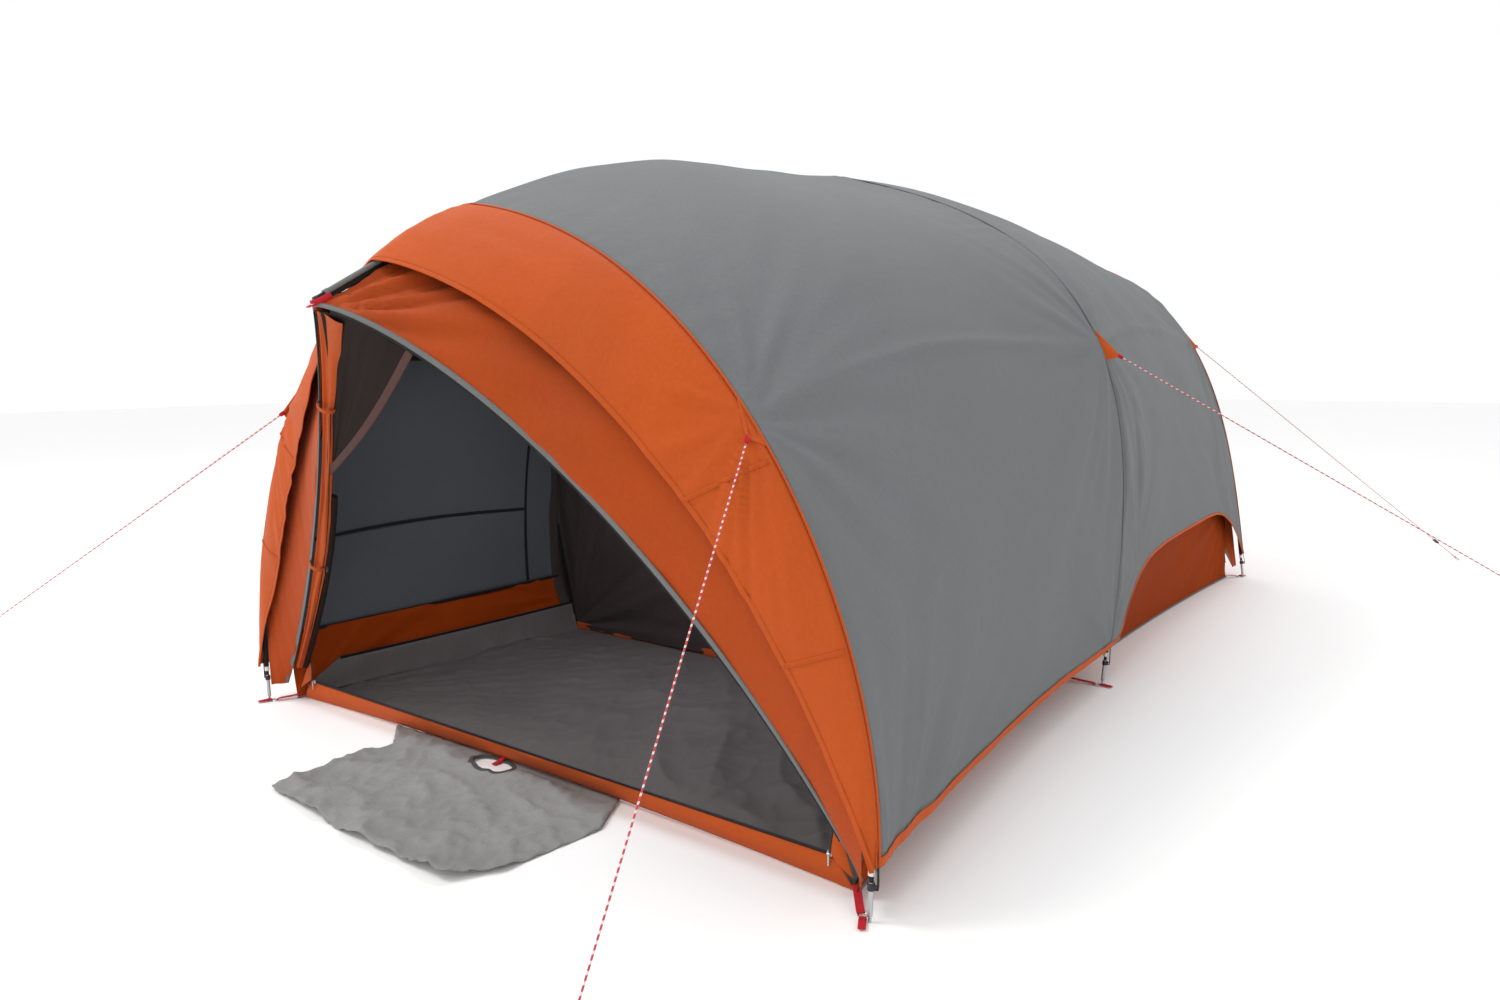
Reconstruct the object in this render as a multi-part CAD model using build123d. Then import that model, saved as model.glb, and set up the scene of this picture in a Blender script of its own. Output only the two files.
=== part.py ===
from build123d import *
import math
import os

# A two-room family dome tent: three hoop poles and a ridge pole, a tent body that hangs
# under them, a fly sheet over them, zips, pole feet, pegging loops, guylines and a mat.
# Millimetres. +Z is up, -Y is the way the open front door faces, and the origin is on the
# ground under the middle of the tent.

os.makedirs("parts", exist_ok=True)

# ---- Driving dimensions -------------------------------------------------------------

FRONT_Y = -2100.0  # planes of the three hoops
MID_Y = -180.0
REAR_Y = 2160.0

# Half arches of the fly over each hoop, from the ridge to the ground, as the four
# handles (x, z) of a cubic curve.
FRONT_ARCH = ((0, 1640), (929, 1503), (1345, 582), (1262, 0))
MID_ARCH = ((0, 1985), (1218, 1672), (1305, 1157), (1184, 0))
REAR_ARCH = ((0, 1856), (1004, 1706), (1132, 939), (1262, 0))
FRONT_RIDGE_RISE = 560.0  # how the ridge bows up between two hoops
REAR_RIDGE_RISE = 320.0
RISE_SKEW = 1.75
WALL_SAG = 30.0  # how far the sides draw in between two hoops

CLOTH = 3.0  # thickness of every cloth stand-in
SEAM_GAP = 1.0  # clear space between two cloth pieces at a seam
BODY_SEAM_GAP = 5.0
BODY_INSET = 55.0  # tent body under the fly
HOOD_INSET = 42.0  # tent body right under the front and rear hoops
HOOP_INSET_TOP = 29.0  # pole centre lines under the fly
HOOP_INSET_FOOT = 11.0
RIDGE_INSET = 13.0
RIDGE_BEND = 160.0  # largest bend radius of the ridge pole
STRAIGHT_FOOT_SHARE = 0.88  # where a hoop pole starts to bend

# The two door openings: an edge that runs from a brow tip down to the floor's corners.
FRONT_BROW_REACH = 464.0
FRONT_BROW_HEIGHT = 1350.0
REAR_BROW_REACH = 404.0
REAR_BROW_HEIGHT = 1640.0
CORNER_X = 1204.0
CORNER_SETBACK = 50.0
CORNER_HEIGHT = 62.0
EDGE_DROP_POWER = 1.4
EDGE_SWEEP_POWER = 1.5

HEM_LOW = 135.0  # hem of the fly above the ground
BROW_LOW = 62.0  # lower corners of the tent body's brows
HEM_HIGH = 150.0
WINDOW_HEM = 420.0  # top of the arched cut in the rear bay
WINDOW_START = MID_Y + 120.0
WINDOW_POWER = 6

FLOOR_CORNER_X = 1172.0
FLOOR_WAIST_X = 1045.0
FLOOR_WAIST_Y = -350.0
FLOOR_FRONT_Y = -2010.0
FLOOR_REAR_Y = 2070.0
FLOOR_BOW = 45.0  # how far the floor's short edges draw in
SKIRT_FRONT_TOP = 240.0
SKIRT_REAR_TOP = 480.0
SHOULDER_HEIGHT = 1230.0
DIVIDER_Y = -760.0

POLE_R = 5.5
TIP_R = 6.2
TIP_LENGTH = 95.0
PIN_R = 3.5
PIN_LENGTH = 14.0

FRONT_ZIP_Y = -2010.0  # straight zips across both thresholds
REAR_ZIP_Y = 2074.0
ZIP_Z = 75.0
ZIP_HALF = 1120.0
COIL_R = 2.5
SLIDER_LENGTH = 15.0
SLIDER_PARK = 1095.0

BUNDLE_FLARE_SHARE = 0.52  # how far down its edge the gathered front door flares

BAND_CLEAR = 12.0  # how far the fly's bands stand in front of the hoops
ROOM_END_GAP = 66.0  # from an end hoop to the ends of the walls

CORD_R = 2.0  # guylines


# ---- Shape of the cloth -------------------------------------------------------------


def blend(a, b, share):
    return tuple(p + (q - p) * share for p, q in zip(a, b))


def bezier(handles, t):
    weights = ((1 - t) ** 3, 3 * t * (1 - t) ** 2, 3 * t * t * (1 - t), t**3)
    return tuple(sum(w * h[i] for w, h in zip(weights, handles)) for i in (0, 1))


def bezier_slope(handles, t):
    weights = ((1 - t) ** 2, 2 * t * (1 - t), t * t)
    steps = [(b[0] - a[0], b[1] - a[1]) for a, b in zip(handles, handles[1:])]
    return tuple(3 * sum(w * s[i] for w, s in zip(weights, steps)) for i in (0, 1))


def arch_at(y):
    """The four handles of the fly's half arch at any station between the end hoops."""
    if y <= MID_Y:
        near, far, rise = FRONT_ARCH, MID_ARCH, FRONT_RIDGE_RISE
        v = (y - FRONT_Y) / (MID_Y - FRONT_Y)
    else:
        near, far, rise = MID_ARCH, REAR_ARCH, REAR_RIDGE_RISE
        v = (y - MID_Y) / (REAR_Y - MID_Y)
    lift = rise * v * (1 - v) ** RISE_SKEW
    sag = 4 * WALL_SAG * v * (1 - v)
    top, shoulder, wall, foot = (blend(a, b, v) for a, b in zip(near, far))
    top = (top[0], top[1] + lift)
    shoulder = (shoulder[0], shoulder[1] + lift / 2)
    wall = (wall[0] - sag, wall[1])
    foot = (foot[0] - sag, foot[1])
    return top, shoulder, wall, foot


def cloth_point(y, u, inset=0.0):
    """A point of the fly, u running from -1 (left foot) over the ridge to 1 (right foot)."""
    handles = arch_at(y)
    t = abs(u)
    side = math.copysign(1, u)
    x, z = bezier(handles, t)
    dx, dz = bezier_slope(handles, t)
    length = math.hypot(dx, dz)
    x = max(x + inset * dz / length, 0)
    return (side * x, y, z - inset * dx / length)


def share_at_height(y, height, inset=0.0):
    """How far round the half arch, from 0 to 1, the cloth is down to this height."""
    low, high = 0.0, 1.0
    for _ in range(40):
        middle = (low + high) / 2
        if cloth_point(y, middle, inset)[2] > height:
            low = middle
        else:
            high = middle
    return low


def opening_edge(u, end):
    """A point of a door opening's edge; end is -1 at the front and 1 at the rear."""
    reach, height, hoop_y = (
        (FRONT_BROW_REACH, FRONT_BROW_HEIGHT, FRONT_Y)
        if end < 0
        else (REAR_BROW_REACH, REAR_BROW_HEIGHT, REAR_Y)
    )
    a = abs(u)
    sweep = (reach + CORNER_SETBACK) * (1 - a) ** EDGE_SWEEP_POWER - CORNER_SETBACK
    drop = 1 - a**EDGE_DROP_POWER
    z = CORNER_HEIGHT + (height - CORNER_HEIGHT) * drop
    return (CORNER_X * u, hoop_y + end * sweep, z)


def hem_height(y):
    """Height of the fly's lower edge, with its arched cut beside the rear room."""
    if y <= WINDOW_START:
        v = (y - FRONT_Y) / (WINDOW_START - FRONT_Y)
        return HEM_LOW + (HEM_HIGH - HEM_LOW) * (1 - (1 - v) ** 3)
    w = (y - WINDOW_START) / (REAR_Y - WINDOW_START)
    plain = HEM_HIGH + (HEM_LOW - HEM_HIGH) * w
    return plain + (WINDOW_HEM - plain) * (1 - abs(2 * w - 1) ** WINDOW_POWER)


def floor_half_width(y):
    """Half the width of the floor, which draws in between its corners."""
    reach = FLOOR_REAR_Y - FLOOR_WAIST_Y if y > FLOOR_WAIST_Y else FLOOR_WAIST_Y - FLOOR_FRONT_Y
    share = (y - FLOOR_WAIST_Y) / reach
    return FLOOR_WAIST_X + (FLOOR_CORNER_X - FLOOR_WAIST_X) * share**2


def zip_y(end):
    return FRONT_ZIP_Y if end < 0 else REAR_ZIP_Y


def spread(low, high, count):
    return [low + (high - low) * i / count for i in range(count + 1)]


def eased(low, high, count):
    """Like spread, with shorter steps near both ends."""
    turns = (math.pi * i / count for i in range(count + 1))
    return [low + (high - low) * (1 - math.cos(turn)) / 2 for turn in turns]


# ---- Solids from grids of points ----------------------------------------------------


def grid_normals(grid):
    """A unit normal at each point of a grid, from the points beside it."""
    rows, columns = len(grid), len(grid[0])
    normals = []
    for r in range(rows):
        line = []
        for c in range(columns):
            along = grid[min(r + 1, rows - 1)][c] - grid[max(r - 1, 0)][c]
            across = grid[r][min(c + 1, columns - 1)] - grid[r][max(c - 1, 0)]
            line.append(across.cross(along).normalized())
        normals.append(line)
    return normals


def facets(a, b, c, d):
    """The two flat triangles of one quarter, left out where two corners meet."""
    triangles = ((a, b, c), (a, c, d))
    return [
        Face(Wire.make_polygon(t))
        for t in triangles
        if (t[1] - t[0]).cross(t[2] - t[0]).length > 1e-4
    ]


def cloth_solid(points, thickness=CLOTH):
    """A thin closed solid with flat facets under a grid of points."""
    outer = [[Vector(*p) for p in row] for row in points]
    normals = grid_normals(outer)
    inner = [
        [p - n * thickness for p, n in zip(row, line)] for row, line in zip(outer, normals)
    ]
    rows, columns = len(outer) - 1, len(outer[0]) - 1
    faces = []
    for r in range(rows):
        for c in range(columns):
            faces += facets(outer[r][c], outer[r][c + 1], outer[r + 1][c + 1], outer[r + 1][c])
            faces += facets(inner[r][c], inner[r + 1][c], inner[r + 1][c + 1], inner[r][c + 1])
    for c in range(columns):
        faces += facets(outer[0][c], inner[0][c], inner[0][c + 1], outer[0][c + 1])
        faces += facets(outer[-1][c], outer[-1][c + 1], inner[-1][c + 1], inner[-1][c])
    for r in range(rows):
        faces += facets(outer[r][0], outer[r + 1][0], inner[r + 1][0], inner[r][0])
        faces += facets(outer[r][-1], inner[r][-1], inner[r + 1][-1], outer[r + 1][-1])
    return Solid(Shell(faces))


def ring_solid(rings):
    """A closed solid with flat facets through a row of rings, closed by a fan at each end."""
    faces = []
    count = len(rings[0])
    for near, far in zip(rings, rings[1:]):
        for i in range(count):
            j = (i + 1) % count
            faces += facets(near[i], near[j], far[j], far[i])
    for ring in (rings[0], rings[-1]):
        centre = sum(ring, Vector(0, 0, 0)) / count
        for i in range(count):
            faces.append(Face(Wire.make_polygon((centre, ring[i], ring[(i + 1) % count]))))
    return Solid(Shell(faces))


def mirrored(solid):
    return solid.mirror(Plane.YZ)


# ---- Poles --------------------------------------------------------------------------


def round_path(points, largest=1e6):
    """Straight runs joined by tangent arcs that are as large as the runs allow."""
    spots = [Vector(*p) for p in points]
    radii = []
    for a, b, c in zip(spots, spots[1:], spots[2:]):
        turn = math.radians((b - a).get_angle(c - b))
        run = min((b - a).length, (c - b).length)
        radii.append(min(0.45 * run / math.tan(turn / 2), largest))
    return FilletPolyline(*spots, radius=radii)


def rod(path, radius):
    section = Plane(origin=path @ 0, z_dir=path % 0) * Circle(radius)
    return sweep(section, path=path)


def hoop_inset(u):
    return HOOP_INSET_TOP + (HOOP_INSET_FOOT - HOOP_INSET_TOP) * abs(u)


def foot_point(y, side):
    """Where a hoop pole's foot stands on the ground."""
    x = cloth_point(y, 1, HOOP_INSET_FOOT)[0]
    return Vector(side * x, y, 0)


def foot_direction(y, side):
    """Unit direction of a hoop pole as it rises from its foot."""
    x, _, z = cloth_point(y, STRAIGHT_FOOT_SHARE, hoop_inset(STRAIGHT_FOOT_SHARE))
    return (Vector(side * x, y, z) - foot_point(y, side)).normalized()


def hoop_points(y):
    shares = spread(-STRAIGHT_FOOT_SHARE, STRAIGHT_FOOT_SHARE, 30)
    arch = [cloth_point(y, u, hoop_inset(u)) for u in shares]
    ends = [tuple(foot_point(y, s) + foot_direction(y, s) * TIP_LENGTH) for s in (-1, 1)]
    return [ends[0]] + arch + [ends[1]]


def hoop_path(y):
    return round_path(hoop_points(y))


def hoop_pole(y):
    return rod(hoop_path(y), POLE_R)


def brow_pole_end(end):
    """Where the ridge pole ends, a little above and inside a brow tip."""
    _, y, z = opening_edge(0, end)
    return (0, y - end * 12, z + 19)


def ridge_points():
    roof = [cloth_point(y, 0, RIDGE_INSET) for y in spread(FRONT_Y, REAR_Y, 14)]
    return [brow_pole_end(-1)] + roof + [brow_pole_end(1)]


def ridge_pole():
    return rod(round_path(ridge_points(), RIDGE_BEND), POLE_R)


def sleeve_on(point, direction, inner, outer, length):
    """A ring round a rod, centred on a point of it."""
    plane = Plane(origin=point - direction * (length / 2), z_dir=direction)
    return extrude(plane * (Circle(outer) - Circle(inner)), amount=length)


def pole_ferrules():
    """Short metal sleeves where two pole sections meet."""
    rings = []
    for y in (FRONT_Y, MID_Y, REAR_Y):
        path = hoop_path(y)
        for share in (0.14, 0.32, 0.68, 0.86):
            rings.append(sleeve_on(path @ share, path % share, POLE_R + 0.4, POLE_R + 1.4, 30))
    return Compound(children=rings)


FEET = [(y, side) for y in (FRONT_Y, MID_Y, REAR_Y) for side in (-1, 1)]


def pole_tip(y, side):
    """Silver foot of a hoop pole: a thick tube that narrows to a pin on the ground."""
    foot, up = foot_point(y, side), foot_direction(y, side)
    plane = Plane(origin=foot + up * 1.5, z_dir=up)
    pin = extrude(plane * Circle(PIN_R), amount=PIN_LENGTH)
    body_plane = Plane(origin=foot + up * PIN_LENGTH, z_dir=up)
    body = extrude(body_plane * Circle(TIP_R), amount=TIP_LENGTH - PIN_LENGTH - 0.2)
    body = chamfer(body.faces().sort_by(Axis.Z)[0].edges(), 1.5)
    return pin + body


def pole_collar(y, side):
    """White ring where the pole enters its silver foot."""
    foot, up = foot_point(y, side), foot_direction(y, side)
    return sleeve_on(foot + up * 118, up, POLE_R + 0.1, POLE_R + 2.4, 15)


def foot_clip(y, side):
    """Black plastic band round the foot, with the hook that the hem's strap pulls on."""
    foot, up = foot_point(y, side), foot_direction(y, side)
    centre = foot + up * 84
    band = sleeve_on(centre, up, TIP_R + 0.1, TIP_R + 2.6, 16)
    out = Vector(side, 0, 0)
    plane = Plane(origin=centre + out * (TIP_R + 1.2), x_dir=(0, 1, 0), z_dir=out)
    hook = extrude(plane * RectangleRounded(7, 14, 1.5), amount=11, taper=12)
    slot = Plane(origin=centre + out * (TIP_R + 8), x_dir=out, z_dir=(0, 1, 0)) * RectangleRounded(3, 7, 1)
    return band + (hook - extrude(slot, amount=10, both=True))


def ring_centre(y, side):
    """Centre of the steel ring that joins a foot to the floor's webbing."""
    foot = foot_point(y, side)
    if y == MID_Y:
        return Vector(foot.X - side * 10, y - 26, 2.3)
    return Vector(foot.X - side * 22, y - math.copysign(9, y), 2.3)


def foot_ring(y, side):
    return Plane(origin=ring_centre(y, side), z_dir=(0, 0, 1)) * Torus(11, 2)


def corner_webbing(y, side):
    """Red straps: floor corner to ring, and the pegging loop beyond the ring."""
    ring = ring_centre(y, side)
    if y == MID_Y:
        inner = Vector(side * (floor_half_width(y) + 14), ring.Y, 8)
        away = Vector(side, 0, 0)
    else:
        inner = Vector(side * (FLOOR_CORNER_X + 14), y - math.copysign(36, y), 8)
        away = Vector(side * 0.45, math.copysign(0.9, y), 0).normalized()
    toward = (ring - inner).normalized()
    near = strap_between(inner, ring - toward * 14 + Vector(0, 0, 3), 20)
    start = ring + away * 14 + Vector(0, 0, 3)
    far = strap_between(start, start + away * 42 + Vector(0, 0, -2.5), 18)
    return [near, far]


def strap_between(start, stop, width, thickness=2.0):
    """A flat strap between two points, its flat side facing up."""
    along = (stop - start).normalized()
    across = Vector(0, 0, 1).cross(along).normalized()
    up = along.cross(across)
    plane = Plane(origin=start, x_dir=along, z_dir=up)
    strip = Box((stop - start).length, width, thickness, align=(Align.MIN, Align.CENTER, Align.CENTER))
    return plane * strip


HOOP_BELOW_RIDGE = HOOP_INSET_TOP - RIDGE_INSET


def ridge_clips():
    """Plastic saddles that hold the ridge pole on top of each hoop."""
    clips = []
    for y in (FRONT_Y, MID_Y, REAR_Y):
        top = Vector(*cloth_point(y, 0, RIDGE_INSET))
        saddle = Pos(11, y, top.Z - 11) * Box(7, 34, 26)
        saddle -= Pos(0, y, top.Z - HOOP_BELOW_RIDGE - 4.7) * Rot(0, 90, 0) * Cylinder(POLE_R + 2.2, 60)
        clips.append(saddle)
    return Compound(children=clips)


def brow_cap(end):
    """Plastic end cap of the ridge pole."""
    tip = Vector(*brow_pole_end(end))
    inner = Vector(*cloth_point(FRONT_Y if end < 0 else REAR_Y, 0, RIDGE_INSET))
    along = (tip - inner).normalized()
    return extrude(Plane(origin=tip + along * 0.3, z_dir=along) * Circle(POLE_R + 1), amount=9)


def brow_tab(end):
    """Red webbing tab with a grommet that the brow end of the ridge pole sits in."""
    _, y, z = opening_edge(0, end)
    start = Vector(0, y + end * 1, z + 1)
    tab = strap_between(start, start + Vector(0, end * 25, -9), 20)
    return tab


# ---- Fly ----------------------------------------------------------------------------


def fly_panel(low_y, high_y, steps):
    """Right half of one bay of the fly, from the ridge seam to the hem."""
    rows = []
    for y in eased(low_y, high_y, steps):
        end = share_at_height(y, hem_height(y))
        row = [cloth_point(y, u) for u in spread(0, end, 14)]
        row[0] = (SEAM_GAP, row[0][1], row[0][2])
        rows.append(row)
    return cloth_solid(rows)


def brow_point(u, share, end):
    """A point of a brow: share runs from the hoop, 0, to the opening's edge, 1."""
    hoop_y = FRONT_Y if end < 0 else REAR_Y
    low = share_at_height(hoop_y, BROW_LOW, HOOD_INSET)
    x, y, z = cloth_point(hoop_y, u * low, HOOD_INSET)
    return blend((x, y + end * 2, z), opening_edge(u, end), share)


def band_point(u, share, end):
    """A point of the fly's orange band: share runs from the hoop, 0, to its free edge, 1."""
    hoop_y = FRONT_Y if end < 0 else REAR_Y
    low = share_at_height(hoop_y, HEM_LOW)
    root = cloth_point(hoop_y, u * low)
    reach = (0.62 - 0.14 * abs(u)) * (1 - 0.8 * abs(u) ** 12)
    x, y, z = blend(root, opening_edge(u, end), reach * share)
    forward = max(end * (y - hoop_y), 0) + BAND_CLEAR
    return (x, hoop_y + end * forward, z + 8 * share * (1 - abs(u)))


def brow_band(end):
    """Orange outer edge of the fly, which wraps round the hoop and overhangs the brow."""
    hoop_y = FRONT_Y if end < 0 else REAR_Y
    low = share_at_height(hoop_y, HEM_LOW)
    across = spread(-1, 1, 28)
    rows = [[cloth_point(hoop_y, u * low) for u in across]]
    rows[0] = [(x, y + end * 2 * SEAM_GAP, z) for x, y, z in rows[0]]
    rows += [[band_point(u, share, end) for u in across] for share in spread(0.02, 1, 4)]
    if end < 0:
        rows = [row[::-1] for row in rows]
    return cloth_solid(rows)


def brow(end):
    """Orange brow of the tent body, from under the hoop to the zip of the opening."""
    rows = []
    for share in spread(0, 1, 5):
        row = [brow_point(u, share, end) for u in spread(-1, 1, 28)]
        rows.append(row if end > 0 else row[::-1])
    return cloth_solid(rows)


# ---- Tent body ----------------------------------------------------------------------


def body_floor():
    """Waterproof floor sheet, drawn in along all four edges."""
    inset = 9
    front, rear = FLOOR_FRONT_Y + inset, FLOOR_REAR_Y - inset
    sides = [(floor_half_width(y) - inset, y) for y in spread(front, rear, 18)]
    back = [(sides[-1][0] * u, rear - FLOOR_BOW * (1 - u * u)) for u in spread(1, -1, 12)]
    fore = [(sides[0][0] * u, front + FLOOR_BOW * (1 - u * u)) for u in spread(-1, 1, 12)]
    left = [(-x, y) for x, y in reversed(sides)]
    outline = sides[:-1] + back[:-1] + left[:-1] + fore[:-1]
    return extrude(make_face(Polyline(*outline, close=True)), amount=CLOTH)


def skirt_top(y):
    return SKIRT_FRONT_TOP if y < DIVIDER_Y else SKIRT_REAR_TOP


def body_skirt(low_y, high_y, steps):
    """Right lower wall of one room, from the floor's edge up to the grey wall."""
    top_height = skirt_top((low_y + high_y) / 2)
    rows = []
    for y in spread(low_y, high_y, steps):
        foot = (floor_half_width(y), y, 1.0)
        top = cloth_point(y, share_at_height(y, top_height, BODY_INSET), BODY_INSET)
        rows.append([blend(top, foot, share) for share in spread(0, 1, 3)])
    return cloth_solid(rows)


def body_wall(low_y, high_y, steps):
    """Right upper wall of one room, from the skirt up to the shoulder."""
    bottom_height = skirt_top((low_y + high_y) / 2) + BODY_SEAM_GAP
    rows = []
    for y in spread(low_y, high_y, steps):
        start = share_at_height(y, SHOULDER_HEIGHT, BODY_INSET)
        end = share_at_height(y, bottom_height, BODY_INSET)
        rows.append([cloth_point(y, u, BODY_INSET) for u in spread(start, end, 6)])
    return cloth_solid(rows)


def body_roof():
    """Mesh ceiling between the two shoulders, over both rooms."""
    rows = []
    for y in spread(FRONT_Y + ROOM_END_GAP, REAR_Y - ROOM_END_GAP, 12):
        start = share_at_height(y, SHOULDER_HEIGHT + BODY_SEAM_GAP, BODY_INSET)
        rows.append([cloth_point(y, u, BODY_INSET) for u in spread(-start, start, 12)])
    return cloth_solid(rows)


def body_divider():
    """Cloth wall between the two rooms."""
    clear = BODY_INSET + CLOTH + 6
    low = share_at_height(DIVIDER_Y, SKIRT_REAR_TOP, clear)
    arch = [cloth_point(DIVIDER_Y, u, clear) for u in spread(-low, low, 24)]
    foot_x = floor_half_width(DIVIDER_Y) - 12
    corners = [(-foot_x, DIVIDER_Y, 6)] + arch + [(foot_x, DIVIDER_Y, 6)]
    face = Face(Wire.make_polygon([Vector(*p) for p in corners]))
    return extrude(face, amount=CLOTH, dir=(0, 1, 0))


def threshold(end):
    """Orange strip across a doorway, from the floor's edge up to the zip."""
    floor_y = FLOOR_FRONT_Y if end < 0 else FLOOR_REAR_Y
    rows = []
    for share in spread(0, 1, 2):
        row = []
        for u in spread(-1, 1, 16):
            bow = -end * FLOOR_BOW * (1 - u * u)
            foot = ((FLOOR_CORNER_X - 8) * u, floor_y + bow, 1)
            top = (ZIP_HALF * u, zip_y(end), ZIP_Z - COIL_R - 13)
            row.append(blend(foot, top, share))
        rows.append(row if end < 0 else row[::-1])
    return cloth_solid(rows)


def rear_door():
    """Closed door that fills the rear opening."""
    rows = []
    for a in spread(0.06, 0.985, 12):
        x, y, z = opening_edge(a, 1)
        rows.append([((x - 14) * s, y, z - 12) for s in spread(-1, 1, 6)])
    return cloth_solid(rows)


def bundle_section(u):
    """Centre and radius of the gathered front door, which flares out towards the brow tip."""
    x, y, z = opening_edge(-u, -1)
    flare = max(0, 1 - u / BUNDLE_FLARE_SHARE)
    offset = Vector(50 - 10 * u, 44, 14 * u - 36) + Vector(75, 66, -50) * flare
    return Vector(x, y, z) + offset, 36 - 20 * u + 72 * flare


def front_door_bundle():
    """Front door, opened and gathered along the left edge of the doorway."""
    rings = []
    for u in spread(0.1, 0.93, 9):
        centre, radius = bundle_section(u)
        turns = (2 * math.pi * i / 10 for i in range(10))
        rings.append([centre + Vector(math.cos(k), math.sin(k), 0) * radius for k in turns])
    return ring_solid(rings)


# ---- Zips ---------------------------------------------------------------------------


def threshold_zip(end):
    """Straight zip across a doorway: its coil and the tape below it."""
    coil = Pos(0, zip_y(end), ZIP_Z) * Rot(0, 90, 0) * Cylinder(COIL_R, 2 * ZIP_HALF)
    tape = Pos(0, zip_y(end), ZIP_Z - 7.5) * Box(2 * ZIP_HALF, 1, 11)
    return coil + tape


def edge_zip(end, side):
    """Zip along one side of an opening, as a slim bar on the edge."""
    points = []
    for a in spread(0.06, 0.955, 14):
        x, y, z = opening_edge(side * a, end)
        points.append((x - side * 4, y, z - 9))
    return rod(round_path(points), COIL_R)


def zip_slider(x, end):
    """Slider body on a threshold zip, with a bridge on its outer face for the pull tab."""
    centre = Pos(x, zip_y(end), ZIP_Z)
    body = Box(SLIDER_LENGTH, 11, 11)
    body = fillet(body.edges().filter_by(Axis.Z), 3)
    body -= Rot(0, 90, 0) * Cylinder(COIL_R + 0.6, 30)
    body -= Pos(0, 0, -6) * Box(30, 2.4, 12)
    bar = Pos(0, end * 9, 1) * Rot(0, 90, 0) * Cylinder(1.2, 9)
    posts = [Pos(dx, end * 7, 1) * Box(1.8, 5.5, 3) for dx in (-4.4, 4.4)]
    return centre * (body + bar + posts[0] + posts[1])


def pull_tab(x, end):
    """Pull tab that swings on a slider's bridge."""
    eye_y, eye_z = zip_y(end) + end * 9, ZIP_Z + 1
    eye = Rot(0, 90, 0) * (Cylinder(3.0, 5) - Cylinder(1.35, 6))
    blade = Pos(0, 0, -16) * Box(5, 1.8, 27)
    blade = fillet(blade.edges().filter_by(Axis.Y), 1.2)
    blade -= Pos(0, 0, -24) * Rot(90, 0, 0) * Cylinder(1.3, 6)
    blade -= Rot(0, 90, 0) * Cylinder(2.9, 8)
    return Pos(x, eye_y, eye_z) * (eye + blade)


# ---- Guys ---------------------------------------------------------------------------

# Each guying point: station, share of the half arch, and the reach of its orange flap.
GUY_POINTS = {"front": (FRONT_Y, 0.45, 58), "mid": (MID_Y, 0.522, 90), "rear": (REAR_Y, 0.45, 58)}

# Where each guyline that is set up reaches the ground.
GUY_GROUND = {
    ("front", 1): (1239, -3100),
    ("front", -1): (-2300, -3007),
    ("mid", 1): (3000, 896),
    ("rear", 1): (2227, 3400),
}
FLAP_HALF_SHARE = 0.030  # half of a flap's root, as a share of the half arch
FLAP_OFF_CLOTH = 6
PEG_LOOP_REACH = 16


def guy_ground(place, side):
    """Ground end of a guyline; a side without one is the mirror of the other side."""
    if (place, side) in GUY_GROUND:
        x, y = GUY_GROUND[place, side]
        return Vector(x, y, 0)
    x, y = GUY_GROUND[place, -side]
    return Vector(-x, y, 0)


def guy_tip(place, side):
    """Outer end of a guy flap, which points along its guyline."""
    y, u, reach = GUY_POINTS[place]
    root = Vector(*cloth_point(y, side * u))
    return root + (guy_ground(place, side) - root).normalized() * reach


def guy_flap(place, side):
    """Orange triangle sewn to the fly, and the red webbing loop at its tip."""
    y, u, _ = GUY_POINTS[place]
    tip = guy_tip(place, side)
    high = Vector(*cloth_point(y, side * (u - FLAP_HALF_SHARE), -FLAP_OFF_CLOTH))
    low = Vector(*cloth_point(y, side * (u + FLAP_HALF_SHARE), -FLAP_OFF_CLOTH))
    along = (tip - (high + low) * 0.5).normalized()
    nose = tip - along * PEG_LOOP_REACH
    facing = (low - high).cross(along).normalized()
    flap = extrude(Face(Wire.make_polygon([high, low, nose])), amount=1.2, both=True)
    return flap, flat_strap(nose + along * 3, tip, facing)


def flat_strap(start, stop, facing):
    """A short webbing loop between two points, its flat side towards facing."""
    along = (stop - start).normalized()
    plane = Plane(origin=start, x_dir=along, z_dir=facing)
    strip = Box((stop - start).length, 10, 2.4, align=(Align.MIN, Align.CENTER, Align.CENTER))
    return plane * strip


def guy_line_ends(place, side):
    """Start of a guyline at its flap, and its end just above the ground."""
    tip = guy_tip(place, side)
    ground = guy_ground(place, side)
    along = (ground - tip).normalized()
    return tip + along * 5, ground - along * 44, along


def guyline(place, side):
    start, stop, along = guy_line_ends(place, side)
    return extrude(Plane(origin=start, z_dir=along) * Circle(CORD_R), amount=(stop - start).length)


def guy_loop(place, side):
    """Knotted peg loop at a guyline's ground end."""
    _, stop, along = guy_line_ends(place, side)
    knot = extrude(Plane(origin=stop + along * 0.2, z_dir=along) * Circle(5), amount=12)
    across = Vector(0, 0, 1).cross(along).normalized()
    centre = stop + along * 24
    loop = Plane(origin=centre, x_dir=along, z_dir=along.cross(across)) * Torus(13, 2)
    return knot + loop


def guy_tensioner(place, side):
    """Plastic line tensioner that slides on a guyline near its ground end."""
    _, stop, along = guy_line_ends(place, side)
    across = Vector(0, 0, 1).cross(along).normalized()
    plane = Plane(origin=stop - along * 180, x_dir=across, z_dir=along)
    body = extrude(plane * SlotOverall(22, 11), amount=30)
    return body - extrude(plane * Circle(CORD_R + 0.5), amount=100, both=True)


# ---- Small parts --------------------------------------------------------------------


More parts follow.
